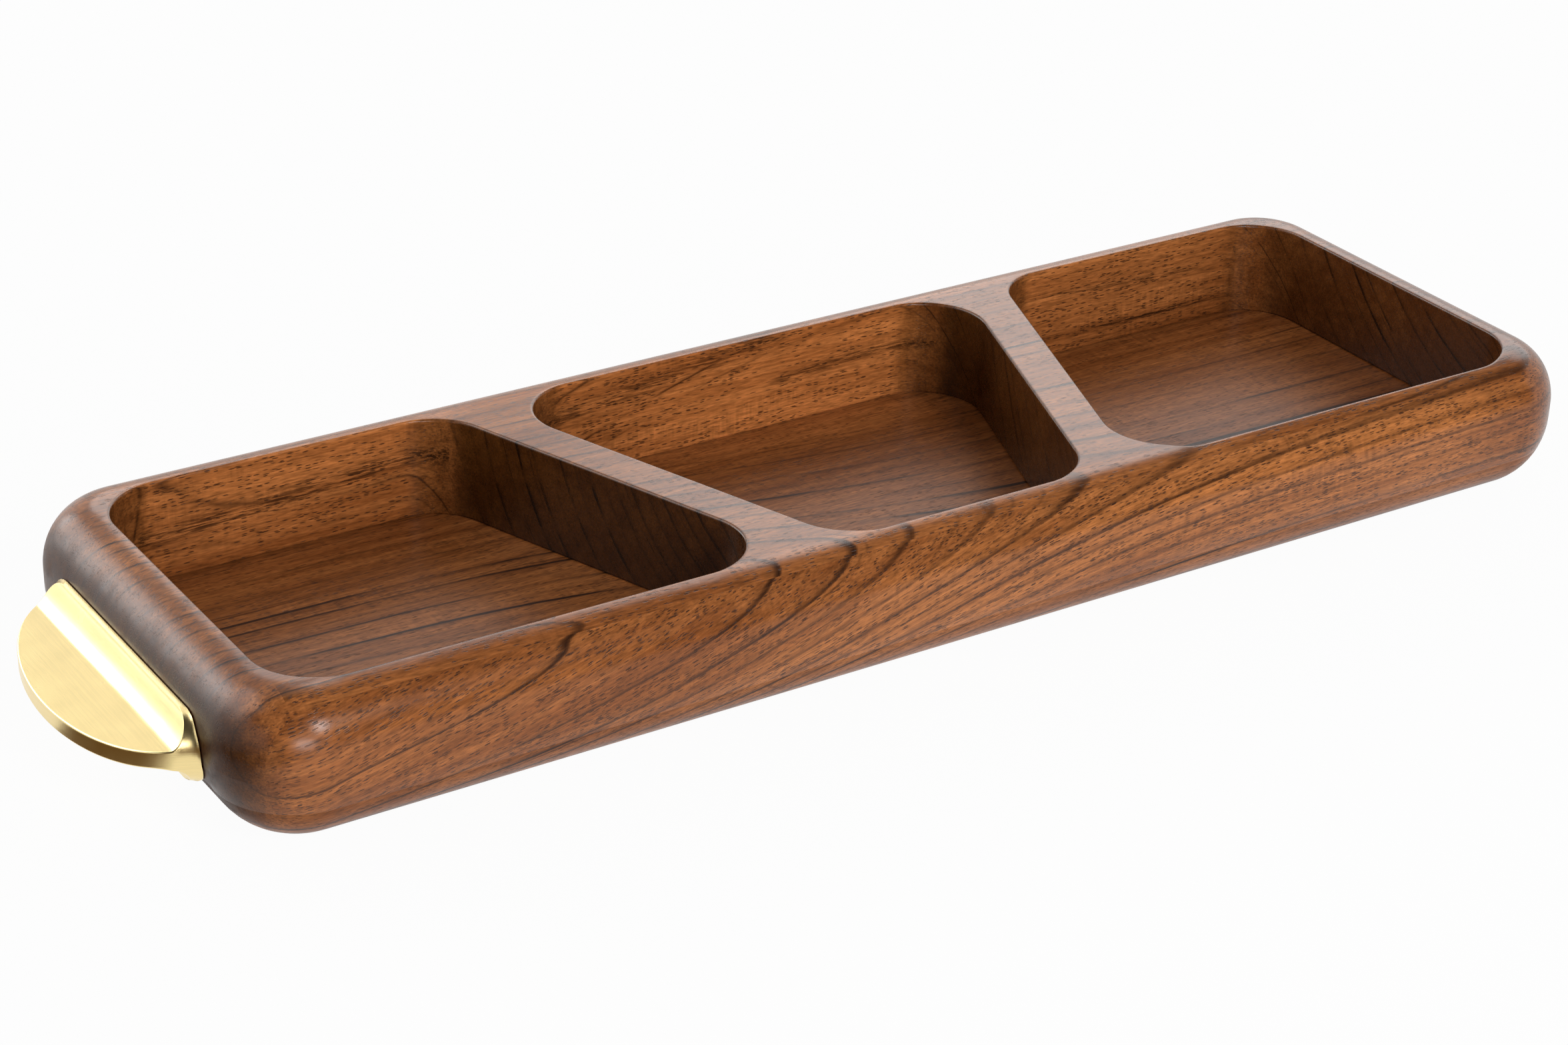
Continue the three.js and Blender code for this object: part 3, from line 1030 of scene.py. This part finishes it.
def all_lines(maker, ring, fibre, place):
    """Darkness of the ring lines, the thinner lines and the back wall's streaks together."""
    faintest = maker.ramp_between(ring, *FAINTER_RINGS, *FAINTEST)
    fading = maker.patches(fibre, LINE_FADING, faintest)
    lines = maker.product(ring_lines(maker, ring), fading, maker.patches(fibre, LINE_RAGGEDNESS))
    lines = maker.math("MAXIMUM", lines, thin_lines(maker, ring, fibre))
    return maker.math("MAXIMUM", lines, back_streaks(maker, place))


def ground_depth(maker, ring, fibre, x):
    """Share of the deep colour in the wood under its lines."""
    streaks = maker.noise(fibre, GROUND_STREAKS_SIZE, detail=3.0, roughness=0.6)
    clouds = maker.noise(fibre, GROUND_CLOUDS_SIZE)
    depth = maker.math("ADD", maker.product(streaks, GROUND_SHARE), maker.product(clouds, GROUND_SHARE))
    near_heart = maker.ramp_between(ring, HEARTWOOD_EDGE, RINGS[0][0], 0.0, DEEPER_HEART)
    near_right = maker.ramp_between(x, *DEEPER_RIGHT, 0.0, DEEPER_RIGHT_SHARE)
    depth = maker.math("ADD", depth, maker.math("ADD", near_heart, near_right))
    return maker.ramp_between(depth, *GROUND_RANGE)


def ground_lift(maker, fibre, x, y, pale_back):
    """Brightness of the wood under its lines, with the back wall's inner face paler: partly paler wood,
    partly painted light.
    """
    silk = maker.noise(fibre, SILK_SIZE, roughness=0.6)
    ripple = maker.noise(fibre, RIPPLE_SIZE, detail=1.0)
    ripple = maker.product(maker.math("SUBTRACT", ripple, 0.5), maker.patches(fibre, RIPPLE_PATCHES))
    flecks = maker.noise(fibre, FLECK_SIZE, detail=1.0)
    lift = maker.math("MULTIPLY_ADD", silk, SILK_LIFT, LEAST_LIFT)
    lift = maker.math("MULTIPLY_ADD", flecks, FLECK_LIFT, lift)
    lift = maker.math("MULTIPLY_ADD", ripple, RIPPLE_LIFT, lift)
    # Paler inner face of the back wall: partly paler outer wood, partly painted light.
    on_back_wall = maker.product(maker.ramp_between(y, *BACK_WALL), maker.math("LESS_THAN", y, BACK_RIM))
    paler = maker.ramp_between(x, *PALER_AND_LIT_BACK_ENDS, pale_back, 0.0)
    paler = maker.product(paler, maker.ramp_between(x, *PALER_AND_LIT_BACK_STARTS, PALER_AND_LIT_BACK_LEAST, 1.0))
    return maker.product(lift, maker.math("MULTIPLY_ADD", on_back_wall, paler, 1.0))


def pore_dashes(maker, fibre, y):
    """Darkness of the pores, short dashes along the fibres that crowd together in places."""
    cells = maker.add("ShaderNodeTexVoronoi", voronoi_dimensions="3D", feature="F1")
    maker.feed(cells.inputs["Vector"], maker.vector("DIVIDE", fibre, PORE_CELL))
    maker.feed(cells.inputs["Scale"], 1.0)
    pick, own_depth, _ = maker.separate(cells.outputs["Color"])
    crowding = maker.noise(fibre, PORE_CROWD_SIZE, detail=1.0)
    off_front = maker.math("GREATER_THAN", y, FRONT_SKIN)
    rarest = maker.math("MULTIPLY_ADD", off_front, RARER_OFF_FRONT, PORE_RARITY)
    kept = maker.math("GREATER_THAN", pick, maker.math("MULTIPLY_ADD", crowding, PORE_CROWDING, rarest))
    darkness = maker.product(kept, maker.math("MULTIPLY_ADD", own_depth, 0.5, 0.5))
    return maker.product(maker.ramp_between(cells.outputs["Distance"], *PORE_RANGE), darkness)


def wood_figure_group():
    """Streaks, growth ring lines and pores of the wood, with the back wall's inner face made paler, partly as
    painted light.
    """
    maker, start, end = new_group(
        "wood_figure",
        [
            ("Ring", "NodeSocketFloat"),
            ("Fibre", "NodeSocketVector"),
            ("Place", "NodeSocketVector"),
            ("Line depth", "NodeSocketFloat"),
            ("Pore depth", "NodeSocketFloat"),
            ("Pale back", "NodeSocketFloat"),
            ("Pale", "NodeSocketColor"),
            ("Deep", "NodeSocketColor"),
            ("Line", "NodeSocketColor"),
        ],
        [("Colour", "NodeSocketColor"), ("Pores", "NodeSocketFloat")],
    )
    given = start.outputs
    ring, fibre, place = given["Ring"], given["Fibre"], given["Place"]
    x, y, _ = maker.separate(place)
    ground = maker.blend(ground_depth(maker, ring, fibre, x), given["Pale"], given["Deep"])
    silky = maker.vector("SCALE", ground, scale=ground_lift(maker, fibre, x, y, given["Pale back"]))
    lines = maker.product(all_lines(maker, ring, fibre, place), given["Line depth"])
    lined = maker.blend(lines, silky, given["Line"])
    pores = pore_dashes(maker, fibre, y)
    pored = maker.blend(maker.product(pores, given["Pore depth"]), lined, given["Line"])
    maker.feed(end.inputs["Colour"], pored)
    maker.feed(end.inputs["Pores"], pores)
    return maker.tree


def fetch_group(name, make):
    """A shader group that is built the first time it is asked for."""
    return bpy.data.node_groups.get(name) or make()


def blank_material(name):
    """A material with only an output node; returns it, its maker and the output's surface socket."""
    material = bpy.data.materials.new(name)
    material.use_nodes = True
    material.node_tree.nodes.clear()
    maker = NodeMaker(material.node_tree)
    output = maker.add("ShaderNodeOutputMaterial")
    return material, maker, output.inputs["Surface"]


def new_material(name):
    """A material with a Principled shader; returns it, its maker and its shader node."""
    material, maker, surface = blank_material(name)
    shader = maker.add("ShaderNodeBsdfPrincipled")
    maker.feed(surface, shader.outputs["BSDF"])
    return material, maker, shader


def place_group(maker, tree, values):
    """Puts a shader group into a material and feeds its inputs by name."""
    node = maker.add("ShaderNodeGroup", node_tree=tree)
    for name, value in values.items():
        maker.feed(node.inputs[name], value)
    return node


# A look's shade scales the wood's pale and deep colours; a shade below 1 is painted shade.
WoodLook = namedtuple("WoodLook", "roughness ior shade lines pores pale_back")
# The body's back-wall share of 0.46 makes the back wall's inner face paler: partly paler outer wood, partly
# painted light.
BODY_LOOK = WoodLook(roughness=0.24, ior=1.4, shade=1.0, lines=1.0, pores=0.95, pale_back=0.46)
# The pocket floors' shade of 0.92 is painted shade, for the lesser light that reaches them down in the
# pockets.
FLOOR_LOOK = WoodLook(roughness=0.32, ior=1.2, shade=0.92, lines=1.3, pores=0.75, pale_back=0.0)
MetalLook = namedtuple("MetalLook", "line_depth smoothest")
BRASS_LOOK = MetalLook(line_depth=0.3, smoothest=0.16)
STEEL_LOOK = MetalLook(line_depth=0.2, smoothest=0.25)

# End grain: how far a face has to turn towards X to show it, in the pockets' corners and elsewhere
POCKETS_END = 186.0 * MM
POCKETS_SIDE = 58.0 * MM
CORNER_FACING = (0.0, 0.3)
CORNER_END_GRAIN = 0.6
END_FACING = (0.45, 0.9)
# What end grain takes from lines and pores, its weaker tint towards the right end, and its dull patches
END_LINES = -0.6
END_PORES = -0.65
PALER_END = (100.0, 180.0)
PALER_END_SHARE = 0.75
END_DULLNESS = Patches((8.0, 8.0, 8.0), 0.38, 0.62, 0.06, 0.2, 3.0, 0.6)
PORE_ROUGHNESS = 0.1
PORE_BUMP = 0.4
PORE_DEPTH = 0.05 * MM


def shaded(shade, share):
    """A colour property as a colour of that share of its brightness, with full alpha."""
    return opaque([channel * share for channel in shade])


def wood_material(name, finish, look):
    """Lacquered wood: ring figure, darker end grain, pores and a satin gloss, with painted shade where the
    look's shade is below 1 and a back wall face made paler, partly as painted light.
    """
    material, maker, shader = new_material(name)
    place = maker.add("ShaderNodeTexCoord")
    rings = fetch_group("log_rings", log_rings_group)
    log = place_group(maker, rings, {"Position": place.outputs["Object"]}).outputs
    facing = maker.math("ABSOLUTE", maker.separate(place.outputs["Normal"])[0])
    from_middle = maker.separate(maker.vector("ABSOLUTE", place.outputs["Object"]))
    within_ends = maker.math("LESS_THAN", from_middle[0], POCKETS_END)
    inside = maker.product(within_ends, maker.math("LESS_THAN", from_middle[1], POCKETS_SIDE))
    in_corner = maker.product(maker.ramp_between(facing, *CORNER_FACING, 0.0, CORNER_END_GRAIN), inside)
    end_grain = maker.math("MAXIMUM", maker.ramp_between(facing, *END_FACING), in_corner)
    outer_end = maker.product(end_grain, maker.math("SUBTRACT", 1.0, inside))
    values = {
        "Ring": log["Ring"],
        "Fibre": log["Fibre"],
        "Place": log["Place"],
        # A shade below 1 darkens the pale and deep colours: painted shade on the pocket floors.
        "Pale": shaded(finish.pale_wood, look.shade),
        "Deep": shaded(finish.deep_wood, look.shade),
        "Line": opaque(finish.ring_wood),
        # Back-wall share: the back wall's inner face made paler, partly as painted light.
        "Pale back": look.pale_back,
        "Line depth": maker.math("MULTIPLY_ADD", outer_end, END_LINES, look.lines),
        "Pore depth": maker.math("MULTIPLY_ADD", end_grain, END_PORES, look.pores),
    }
    figure = place_group(maker, fetch_group("wood_figure", wood_figure_group), values).outputs
    x = maker.separate(log["Place"])[0]
    tint_share = maker.product(end_grain, maker.ramp_between(x, *PALER_END, 1.0, PALER_END_SHARE))
    tinted = maker.blend(tint_share, figure["Colour"], opaque(finish.end_tint), "MULTIPLY")
    maker.feed(shader.inputs["Base Color"], tinted)
    roughness = maker.math("MULTIPLY_ADD", figure["Pores"], PORE_ROUGHNESS, look.roughness)
    dull = maker.product(maker.patches(log["Place"], END_DULLNESS), outer_end)
    maker.feed(shader.inputs["Roughness"], maker.math("ADD", roughness, dull))
    shader.inputs["IOR"].default_value = look.ior
    height = maker.math("MULTIPLY_ADD", figure["Pores"], -1.0, 1.0)
    maker.feed(shader.inputs["Normal"], maker.bump(height, PORE_BUMP, PORE_DEPTH))
    return material


# Brushing lines: size of the noise in millimetres on flat faces and on the rim, and how far a face has to
# turn up or down to count as flat
FLAT_BRUSHING = (0.16, 26.0, 4.0)
RIM_BRUSHING = (18.0, 18.0, 0.14)
FLAT_FACING = (0.55, 0.85)
BLOTCH_SIZE = (9.0, 9.0, 9.0)
BLOTCH_ROUGHNESS = 0.16
BRUSH_RANGE = (0.3, 0.7)
BRUSH_SHADE = 0.92
BRUSH_DEPTH = 0.04 * MM


def brushed_group():
    """Fine brushing lines of worked metal, along the tray's width on flat faces and along the rim."""
    maker, start, end = new_group(
        "brushed_metal",
        [("Position", "NodeSocketVector"), ("Normal", "NodeSocketVector")],
        [("Lines", "NodeSocketFloat"), ("Blotches", "NodeSocketFloat")],
    )
    place = maker.vector("SCALE", start.outputs["Position"], scale=1.0 / MM)
    flat = maker.noise(place, FLAT_BRUSHING, detail=3.0, roughness=0.7)
    rim = maker.noise(place, RIM_BRUSHING, detail=3.0, roughness=0.7)
    upward = maker.math("ABSOLUTE", maker.separate(start.outputs["Normal"])[2])
    share = maker.ramp_between(upward, *FLAT_FACING)
    rim_part = maker.product(rim, maker.math("SUBTRACT", 1.0, share))
    maker.feed(end.inputs["Lines"], maker.math("MULTIPLY_ADD", flat, share, rim_part))
    maker.feed(end.inputs["Blotches"], maker.noise(place, BLOTCH_SIZE, detail=3.0))
    return maker.tree


def metal_material(name, shade, look):
    """Brushed metal whose brushing changes its colour, gloss and surface."""
    material, maker, shader = new_material(name)
    place = maker.add("ShaderNodeTexCoord").outputs
    values = {"Position": place["Object"], "Normal": place["Normal"]}
    brushed = place_group(maker, fetch_group("brushed_metal", brushed_group), values).outputs
    share = maker.ramp_between(brushed["Lines"], *BRUSH_RANGE)
    maker.feed(shader.inputs["Base Color"], maker.blend(share, shaded(shade, BRUSH_SHADE), opaque(shade)))
    shader.inputs["Metallic"].default_value = 1.0
    roughness = maker.math("MULTIPLY_ADD", brushed["Blotches"], BLOTCH_ROUGHNESS, look.smoothest)
    maker.feed(shader.inputs["Roughness"], roughness)
    maker.feed(shader.inputs["Normal"], maker.bump(brushed["Lines"], look.line_depth, BRUSH_DEPTH))
    return material


STUD_SIDES = 24
STUD_ROWS = 104


def stud_tree(settings, block_length, height, material):
    """Geometry nodes for four threaded studs, two in each end of the block."""
    tree = bpy.data.node_groups.new("threaded_studs", "GeometryNodeTree")
    sockets = {}
    for label, default in (
        ("Diameter", settings.diameter),
        ("Length", settings.length),
        ("Ridge", settings.ridge),
        ("Pitch", settings.pitch),
        ("Spacing", settings.spacing),
        ("Across", block_length + settings.length - 2 * settings.in_wood),
        ("Height", height),
    ):
        socket = tree.interface.new_socket(name=label, in_out="INPUT", socket_type="NodeSocketFloat")
        socket.default_value = default
        sockets[label] = (socket.identifier, default)
    tree.interface.new_socket(name="Geometry", in_out="OUTPUT", socket_type="NodeSocketGeometry")
    maker = NodeMaker(tree)
    start = maker.add("NodeGroupInput")
    rod = maker.add("GeometryNodeMeshCylinder")
    rod.inputs["Vertices"].default_value = STUD_SIDES
    rod.inputs["Side Segments"].default_value = STUD_ROWS
    radius = maker.math("MULTIPLY", start.outputs["Diameter"], 0.5)
    maker.feed(rod.inputs["Radius"], radius)
    maker.feed(rod.inputs["Depth"], start.outputs["Length"])
    place = maker.add("GeometryNodeInputPosition")
    x, y, z = maker.separate(place.outputs["Position"])
    bearing = maker.math("ARCTAN2", y, x)
    turns = maker.math("DIVIDE", z, start.outputs["Pitch"])
    phase = maker.math("MULTIPLY_ADD", turns, math.tau, bearing)
    wave = maker.math("MULTIPLY_ADD", maker.math("COSINE", phase), 0.5, -0.5)
    push = maker.math("MULTIPLY", wave, start.outputs["Ridge"])
    outward = maker.vector("NORMALIZE", maker.combine(x, y, 0.0))
    threaded = maker.add("GeometryNodeSetPosition")
    maker.feed(threaded.inputs["Geometry"], rod.outputs["Mesh"])
    maker.feed(threaded.inputs["Offset"], maker.vector("SCALE", outward, scale=push))
    corners = maker.add("GeometryNodeMeshGrid")
    corners.inputs["Vertices X"].default_value = 2
    corners.inputs["Vertices Y"].default_value = 2
    maker.feed(corners.inputs["Size X"], start.outputs["Across"])
    maker.feed(corners.inputs["Size Y"], start.outputs["Spacing"])
    raised = maker.add("GeometryNodeSetPosition")
    maker.feed(raised.inputs["Geometry"], corners.outputs["Mesh"])
    maker.feed(raised.inputs["Offset"], maker.combine(0.0, 0.0, start.outputs["Height"]))
    copies = maker.add("GeometryNodeInstanceOnPoints")
    maker.feed(copies.inputs["Points"], raised.outputs["Geometry"])
    maker.feed(copies.inputs["Instance"], threaded.outputs["Geometry"])
    copies.inputs["Rotation"].default_value = (0.0, math.pi / 2, 0.0)
    real = maker.add("GeometryNodeRealizeInstances")
    maker.feed(real.inputs["Geometry"], copies.outputs["Instances"])
    dressed = maker.add("GeometryNodeSetMaterial")
    maker.feed(dressed.inputs["Geometry"], real.outputs["Geometry"])
    dressed.inputs["Material"].default_value = material
    end = maker.add("NodeGroupOutput")
    maker.feed(end.inputs["Geometry"], dressed.outputs["Geometry"])
    return tree, sockets


def mesh_from_nodes(name, tree, sockets):
    """Runs a geometry node tree with its input values and returns the plain mesh that it makes."""
    seed_mesh = bpy.data.meshes.new(name + "_seed")
    carrier = bpy.data.objects.new(name + "_carrier", seed_mesh)
    modifier = carrier.modifiers.new(name, "NODES")
    modifier.node_group = tree
    for identifier, value in sockets.values():
        modifier[identifier] = value
    bpy.context.scene.collection.objects.link(carrier)
    seen = bpy.context.evaluated_depsgraph_get()
    mesh = bpy.data.meshes.new_from_object(carrier.evaluated_get(seen))
    mesh.name = name
    carrier.modifiers.remove(modifier)
    bpy.data.objects.remove(carrier)
    bpy.data.meshes.remove(seed_mesh)
    return mesh


class TRAY_OT_body(Operator):
    """Builds the wooden block's walls, dividers and top."""

    bl_idname = "tray.body"
    bl_label = "Tray Body"

    def execute(self, context):
        scene = context.scene
        material = wood_material("tray_body_wood", scene.tray_finish, BODY_LOOK)
        add_piece("tray_body", frame_mesh(scene.tray_body), material, "frame_wood", "tray_frame")
        return {"FINISHED"}


class TRAY_OT_floor(Operator):
    """Builds the part of the block below the pocket floors."""

    bl_idname = "tray.floor"
    bl_label = "Tray Floor"

    def execute(self, context):
        scene = context.scene
        material = wood_material("tray_floor_wood", scene.tray_finish, FLOOR_LOOK)
        add_piece("tray_floor", floor_mesh(scene.tray_body), material, "base_wood", "base_panel")
        return {"FINISHED"}


class TRAY_OT_handles(Operator):
    """Builds the brass tab handles at both ends."""

    bl_idname = "tray.handles"
    bl_label = "Brass Handles"

    def execute(self, context):
        scene = context.scene
        material = metal_material("brushed_brass", scene.tray_finish.brass, BRASS_LOOK)
        for name, node, turn in (
            ("brass_handle_right", "handle_right", 0.0),
            ("brass_handle_left", "handle_left", math.pi),
        ):
            mesh = handle_mesh(scene.tray_handles, scene.tray_body, turn, name)
            add_piece(name, mesh, material, "brass", node)
        return {"FINISHED"}


class TRAY_OT_studs(Operator):
    """Builds the threaded studs inside the handles."""

    bl_idname = "tray.studs"
    bl_label = "Threaded Studs"

    def execute(self, context):
        scene = context.scene
        material = metal_material("stud_steel", scene.tray_finish.steel, STEEL_LOOK)
        tree, sockets = stud_tree(
            scene.tray_studs, scene.tray_body.length, scene.tray_handles.height, material
        )
        mesh = mesh_from_nodes("handle_studs", tree, sockets)
        mesh.shade_smooth()
        mesh.set_sharp_from_angle(angle=SHARP_ANGLE)
        add_piece("handle_studs", mesh, material, "steel", *STUD_NODES)
        return {"FINISHED"}


def seen_directly(maker):
    """Share of light paths that come from the camera, a reflection or a clear material."""
    path = maker.add("ShaderNodeLightPath")
    first = maker.math("MAXIMUM", path.outputs["Is Camera Ray"], path.outputs["Is Glossy Ray"])
    return maker.math("MAXIMUM", first, path.outputs["Is Transmission Ray"])


# Floor and cards, in metres; a card's numbers are its left, right, front and back
FLOOR_HALF = 4.0
FLOOR_GLOW_SHARE = 0.96
CARD_LIFT = 0.4 * MM
# The low card is a painted shadow of the tray on the floor under the left handle, seen only in reflections.
LOW_CARD = (-1.5, -0.232, -1.5, 0.015)
BRIGHT_CARD = (-1.6, -0.26, 0.25, 1.9)
BRIGHT_CARD_GLOW = 1.35
FLAG_FRONT = -1.8
FLAG_HEIGHT = 1.8
FLAG_BACK = 0.4
FLAG_HALF = 3.0
ONE_FACE = [(0, 1, 2, 3)]
FOLDED_FACES = [(0, 1, 2, 3), (3, 2, 4, 5)]
WHITE = (1.0, 1.0, 1.0, 1.0)
BACKDROP_LEVEL = 1.0
CLIP_START = 0.05

# Lamps: the setting that holds the power, direction from the tray, distance and size in metres, and whether
# the lamp lights surfaces and shows in reflections
Lamp = namedtuple("Lamp", "name power direction reach size lights reflects")
LAMPS = (
    Lamp("key_light", "key_power", (0.0, -0.83, 0.56), 1.4, (0.34, 0.34), True, True),
    Lamp("fill_light", "fill_power", (-0.2, -0.95, 0.2), 1.5, (1.0, 0.5), True, False),
    Lamp("left_panel", "panel_power", (-0.45, 0.8, 0.3), 1.8, (1.1, 0.8), True, True),
    Lamp("back_panel", "back_power", (0.71, 0.54, 0.46), 2.2, (1.8, 1.1), True, True),
    Lamp("left_sheen", "sheen_power", (-0.62, 0.42, 0.62), 1.8, (1.3, 1.2), False, True),
    Lamp("rim_sheen", "rim_power", (0.456, 0.472, 0.755), 2.0, (1.0, 0.7), False, True),
    Lamp("top_sheen", "top_power", (0.25, 0.86, 0.46), 2.2, (0.45, 0.5), False, True),
    Lamp("end_glint", "glint_power", (-0.36, -0.9, 0.2), 1.5, (0.5, 0.3), False, True),
)


def level_corners(left, right, front, back, height):
    """Corners of a level rectangle, anticlockwise."""
    return [(left, front, height), (right, front, height), (right, back, height), (left, back, height)]


def stage_sheet(name, corners, faces, material):
    """A flat or folded sheet of the stage."""
    mesh = bpy.data.meshes.new(name)
    mesh.from_pydata(corners, [], faces)
    mesh.materials.append(material)
    sheet = bpy.data.objects.new(name, mesh)
    bpy.context.scene.collection.objects.link(sheet)
    return sheet


def floor_material(shade):
    """A pale floor that shows nearly white and keeps the tray's shadow."""
    material, maker, surface = blank_material("pale_floor")
    matt = maker.add("ShaderNodeBsdfDiffuse")
    matt.inputs["Color"].default_value = opaque(shade)
    glow = maker.add("ShaderNodeEmission")
    share = maker.product(seen_directly(maker), FLOOR_GLOW_SHARE)
    maker.feed(surface, maker.mix_shader(share, matt.outputs["BSDF"], glow.outputs["Emission"]))
    return material


def card_material(name, shade):
    """Matt card of one colour."""
    material, maker, surface = blank_material(name)
    matt = maker.add("ShaderNodeBsdfDiffuse")
    matt.inputs["Color"].default_value = opaque(shade)
    maker.feed(surface, matt.outputs["BSDF"])
    return material


def glowing_card(strength):
    """White card with a light of its own."""
    material, maker, surface = blank_material("bright_card")
    glow = maker.add("ShaderNodeEmission")
    glow.inputs["Strength"].default_value = strength
    maker.feed(surface, glow.outputs["Emission"])
    return material


def only_in_reflections(sheet):
    """Hides a sheet from everything but reflections."""
    for sight in ("camera", "diffuse", "transmission", "volume_scatter", "shadow"):
        setattr(sheet, "visible_" + sight, False)


def light_room(scene, strength):
    """White surroundings that give a plain level of light and show as white themselves."""
    world = bpy.data.worlds.new("studio_room")
    world.use_nodes = True
    world.node_tree.nodes.clear()
    maker = NodeMaker(world.node_tree)
    levels = []
    for level in (strength, BACKDROP_LEVEL):
        background = maker.add("ShaderNodeBackground")
        background.inputs["Color"].default_value = WHITE
        background.inputs["Strength"].default_value = level
        levels.append(background.outputs["Background"])
    output = maker.add("ShaderNodeOutputWorld")
    maker.feed(output.inputs["Surface"], maker.mix_shader(seen_directly(maker), *levels))
    scene.world = world


def add_lamps(scene, stage):
    """Flat soft lamps that look at the tray's middle and don't show in the picture themselves."""
    for row in LAMPS:
        light = bpy.data.lights.new(row.name, "AREA")
        light.energy = getattr(stage, row.power)
        light.shape = "RECTANGLE"
        light.size, light.size_y = row.size
        direction = Vector(row.direction)
        lamp = bpy.data.objects.new(row.name, light)
        lamp.location = direction.normalized() * row.reach
        lamp.rotation_euler = direction.to_track_quat("Z", "Y").to_euler()
        lamp.visible_camera = False
        lamp.visible_diffuse = row.lights
        lamp.visible_glossy = row.reflects
        scene.collection.objects.link(lamp)


def add_camera(scene, stage):
    """Camera at the photograph's place and angle."""
    data = bpy.data.cameras.new("photo_camera")
    data.sensor_fit = "HORIZONTAL"
    data.sensor_width = SENSOR_WIDTH
    data.lens = stage.focal_pixels / IMAGE_WIDTH * SENSOR_WIDTH
    data.clip_start = CLIP_START
    right = Vector((math.cos(stage.azimuth), math.sin(stage.azimuth), 0.0))
    level = math.cos(stage.elevation)
    back = Vector(
        (
            math.sin(stage.azimuth) * level,
            -math.cos(stage.azimuth) * level,
            math.sin(stage.elevation),
        )
    )
    up = back.cross(right)
    rolled_right = right * math.cos(stage.roll) + up * math.sin(stage.roll)
    rolled_up = up * math.cos(stage.roll) - right * math.sin(stage.roll)
    place = stage.camera_distance * back - stage.aim_left * rolled_right + stage.aim_up * rolled_up
    pose = Matrix((rolled_right, rolled_up, back)).transposed().to_4x4()
    pose.translation = place
    camera = bpy.data.objects.new("photo_camera", data)
    camera.matrix_world = pose
    scene.collection.objects.link(camera)
    scene.camera = camera


class TRAY_OT_stage(Operator):
    """Sets up the floor, the lights and the camera."""

    bl_idname = "tray.stage"
    bl_label = "Studio Stage"

    def execute(self, context):
        scene = context.scene
        stage = scene.tray_stage
        ground = level_corners(-FLOOR_HALF, FLOOR_HALF, -FLOOR_HALF, FLOOR_HALF, 0.0)
        stage_sheet("studio_floor", ground, ONE_FACE, floor_material(stage.floor_colour))
        folded = [
            (-FLAG_HALF, FLAG_FRONT, 0.0),
            (FLAG_HALF, FLAG_FRONT, 0.0),
            (FLAG_HALF, FLAG_FRONT, FLAG_HEIGHT),
            (-FLAG_HALF, FLAG_FRONT, FLAG_HEIGHT),
            (FLAG_HALF, FLAG_BACK, FLAG_HEIGHT),
            (-FLAG_HALF, FLAG_BACK, FLAG_HEIGHT),
        ]
        # The low card's material is a painted shadow of the tray on the floor, for reflections only.
        floor_shadow = card_material("warm_card", stage.warm_card)
        dark = card_material("dark_card", stage.dark_card)
        for name, corners, faces, material in (
            ("low_card", level_corners(*LOW_CARD, CARD_LIFT), ONE_FACE, floor_shadow),
            ("bright_card", level_corners(*BRIGHT_CARD, CARD_LIFT), ONE_FACE, glowing_card(BRIGHT_CARD_GLOW)),
            ("front_card", folded, FOLDED_FACES, dark),
        ):
            only_in_reflections(stage_sheet(name, corners, faces, material))
        light_room(scene, stage.room_light)
        add_lamps(scene, stage)
        add_camera(scene, stage)
        scene.view_settings.view_transform = "Standard"
        return {"FINISHED"}


class TRAY_PT_panel(Panel):
    """Lists the tray's pieces and its settings."""

    bl_idname = "TRAY_PT_panel"
    bl_label = "Serving Tray"
    bl_space_type = "VIEW_3D"
    bl_region_type = "UI"
    bl_category = "Serving Tray"

    def draw(self, context):
        for piece in PIECES:
            self.layout.operator(piece.bl_idname)
        for name, group in SETTINGS:
            box = self.layout.box()
            box.label(text=group.__doc__)
            settings = getattr(context.scene, name)
            for prop in group.__annotations__:
                box.prop(settings, prop)


SETTINGS = (
    ("tray_body", BodySettings),
    ("tray_handles", HandleSettings),
    ("tray_studs", StudSettings),
    ("tray_finish", FinishSettings),
    ("tray_stage", StageSettings),
)
PIECES = (TRAY_OT_body, TRAY_OT_floor, TRAY_OT_handles, TRAY_OT_studs, TRAY_OT_stage)


def register():
    """Adds the settings, the operators and the panel to Blender."""
    for name, group in SETTINGS:
        bpy.utils.register_class(group)
        setattr(bpy.types.Scene, name, PointerProperty(type=group))
    for item in (*PIECES, TRAY_PT_panel):
        bpy.utils.register_class(item)


def unregister():
    """Takes the panel, the operators and the settings out of Blender again."""
    for item in (TRAY_PT_panel, *reversed(PIECES)):
        bpy.utils.unregister_class(item)
    for name, group in reversed(SETTINGS):
        delattr(bpy.types.Scene, name)
        bpy.utils.unregister_class(group)


def main():
    register()
    bpy.ops.tray.body()
    bpy.ops.tray.floor()
    bpy.ops.tray.handles()
    bpy.ops.tray.studs()
    bpy.ops.tray.stage()


if __name__ == "__main__":
    main()
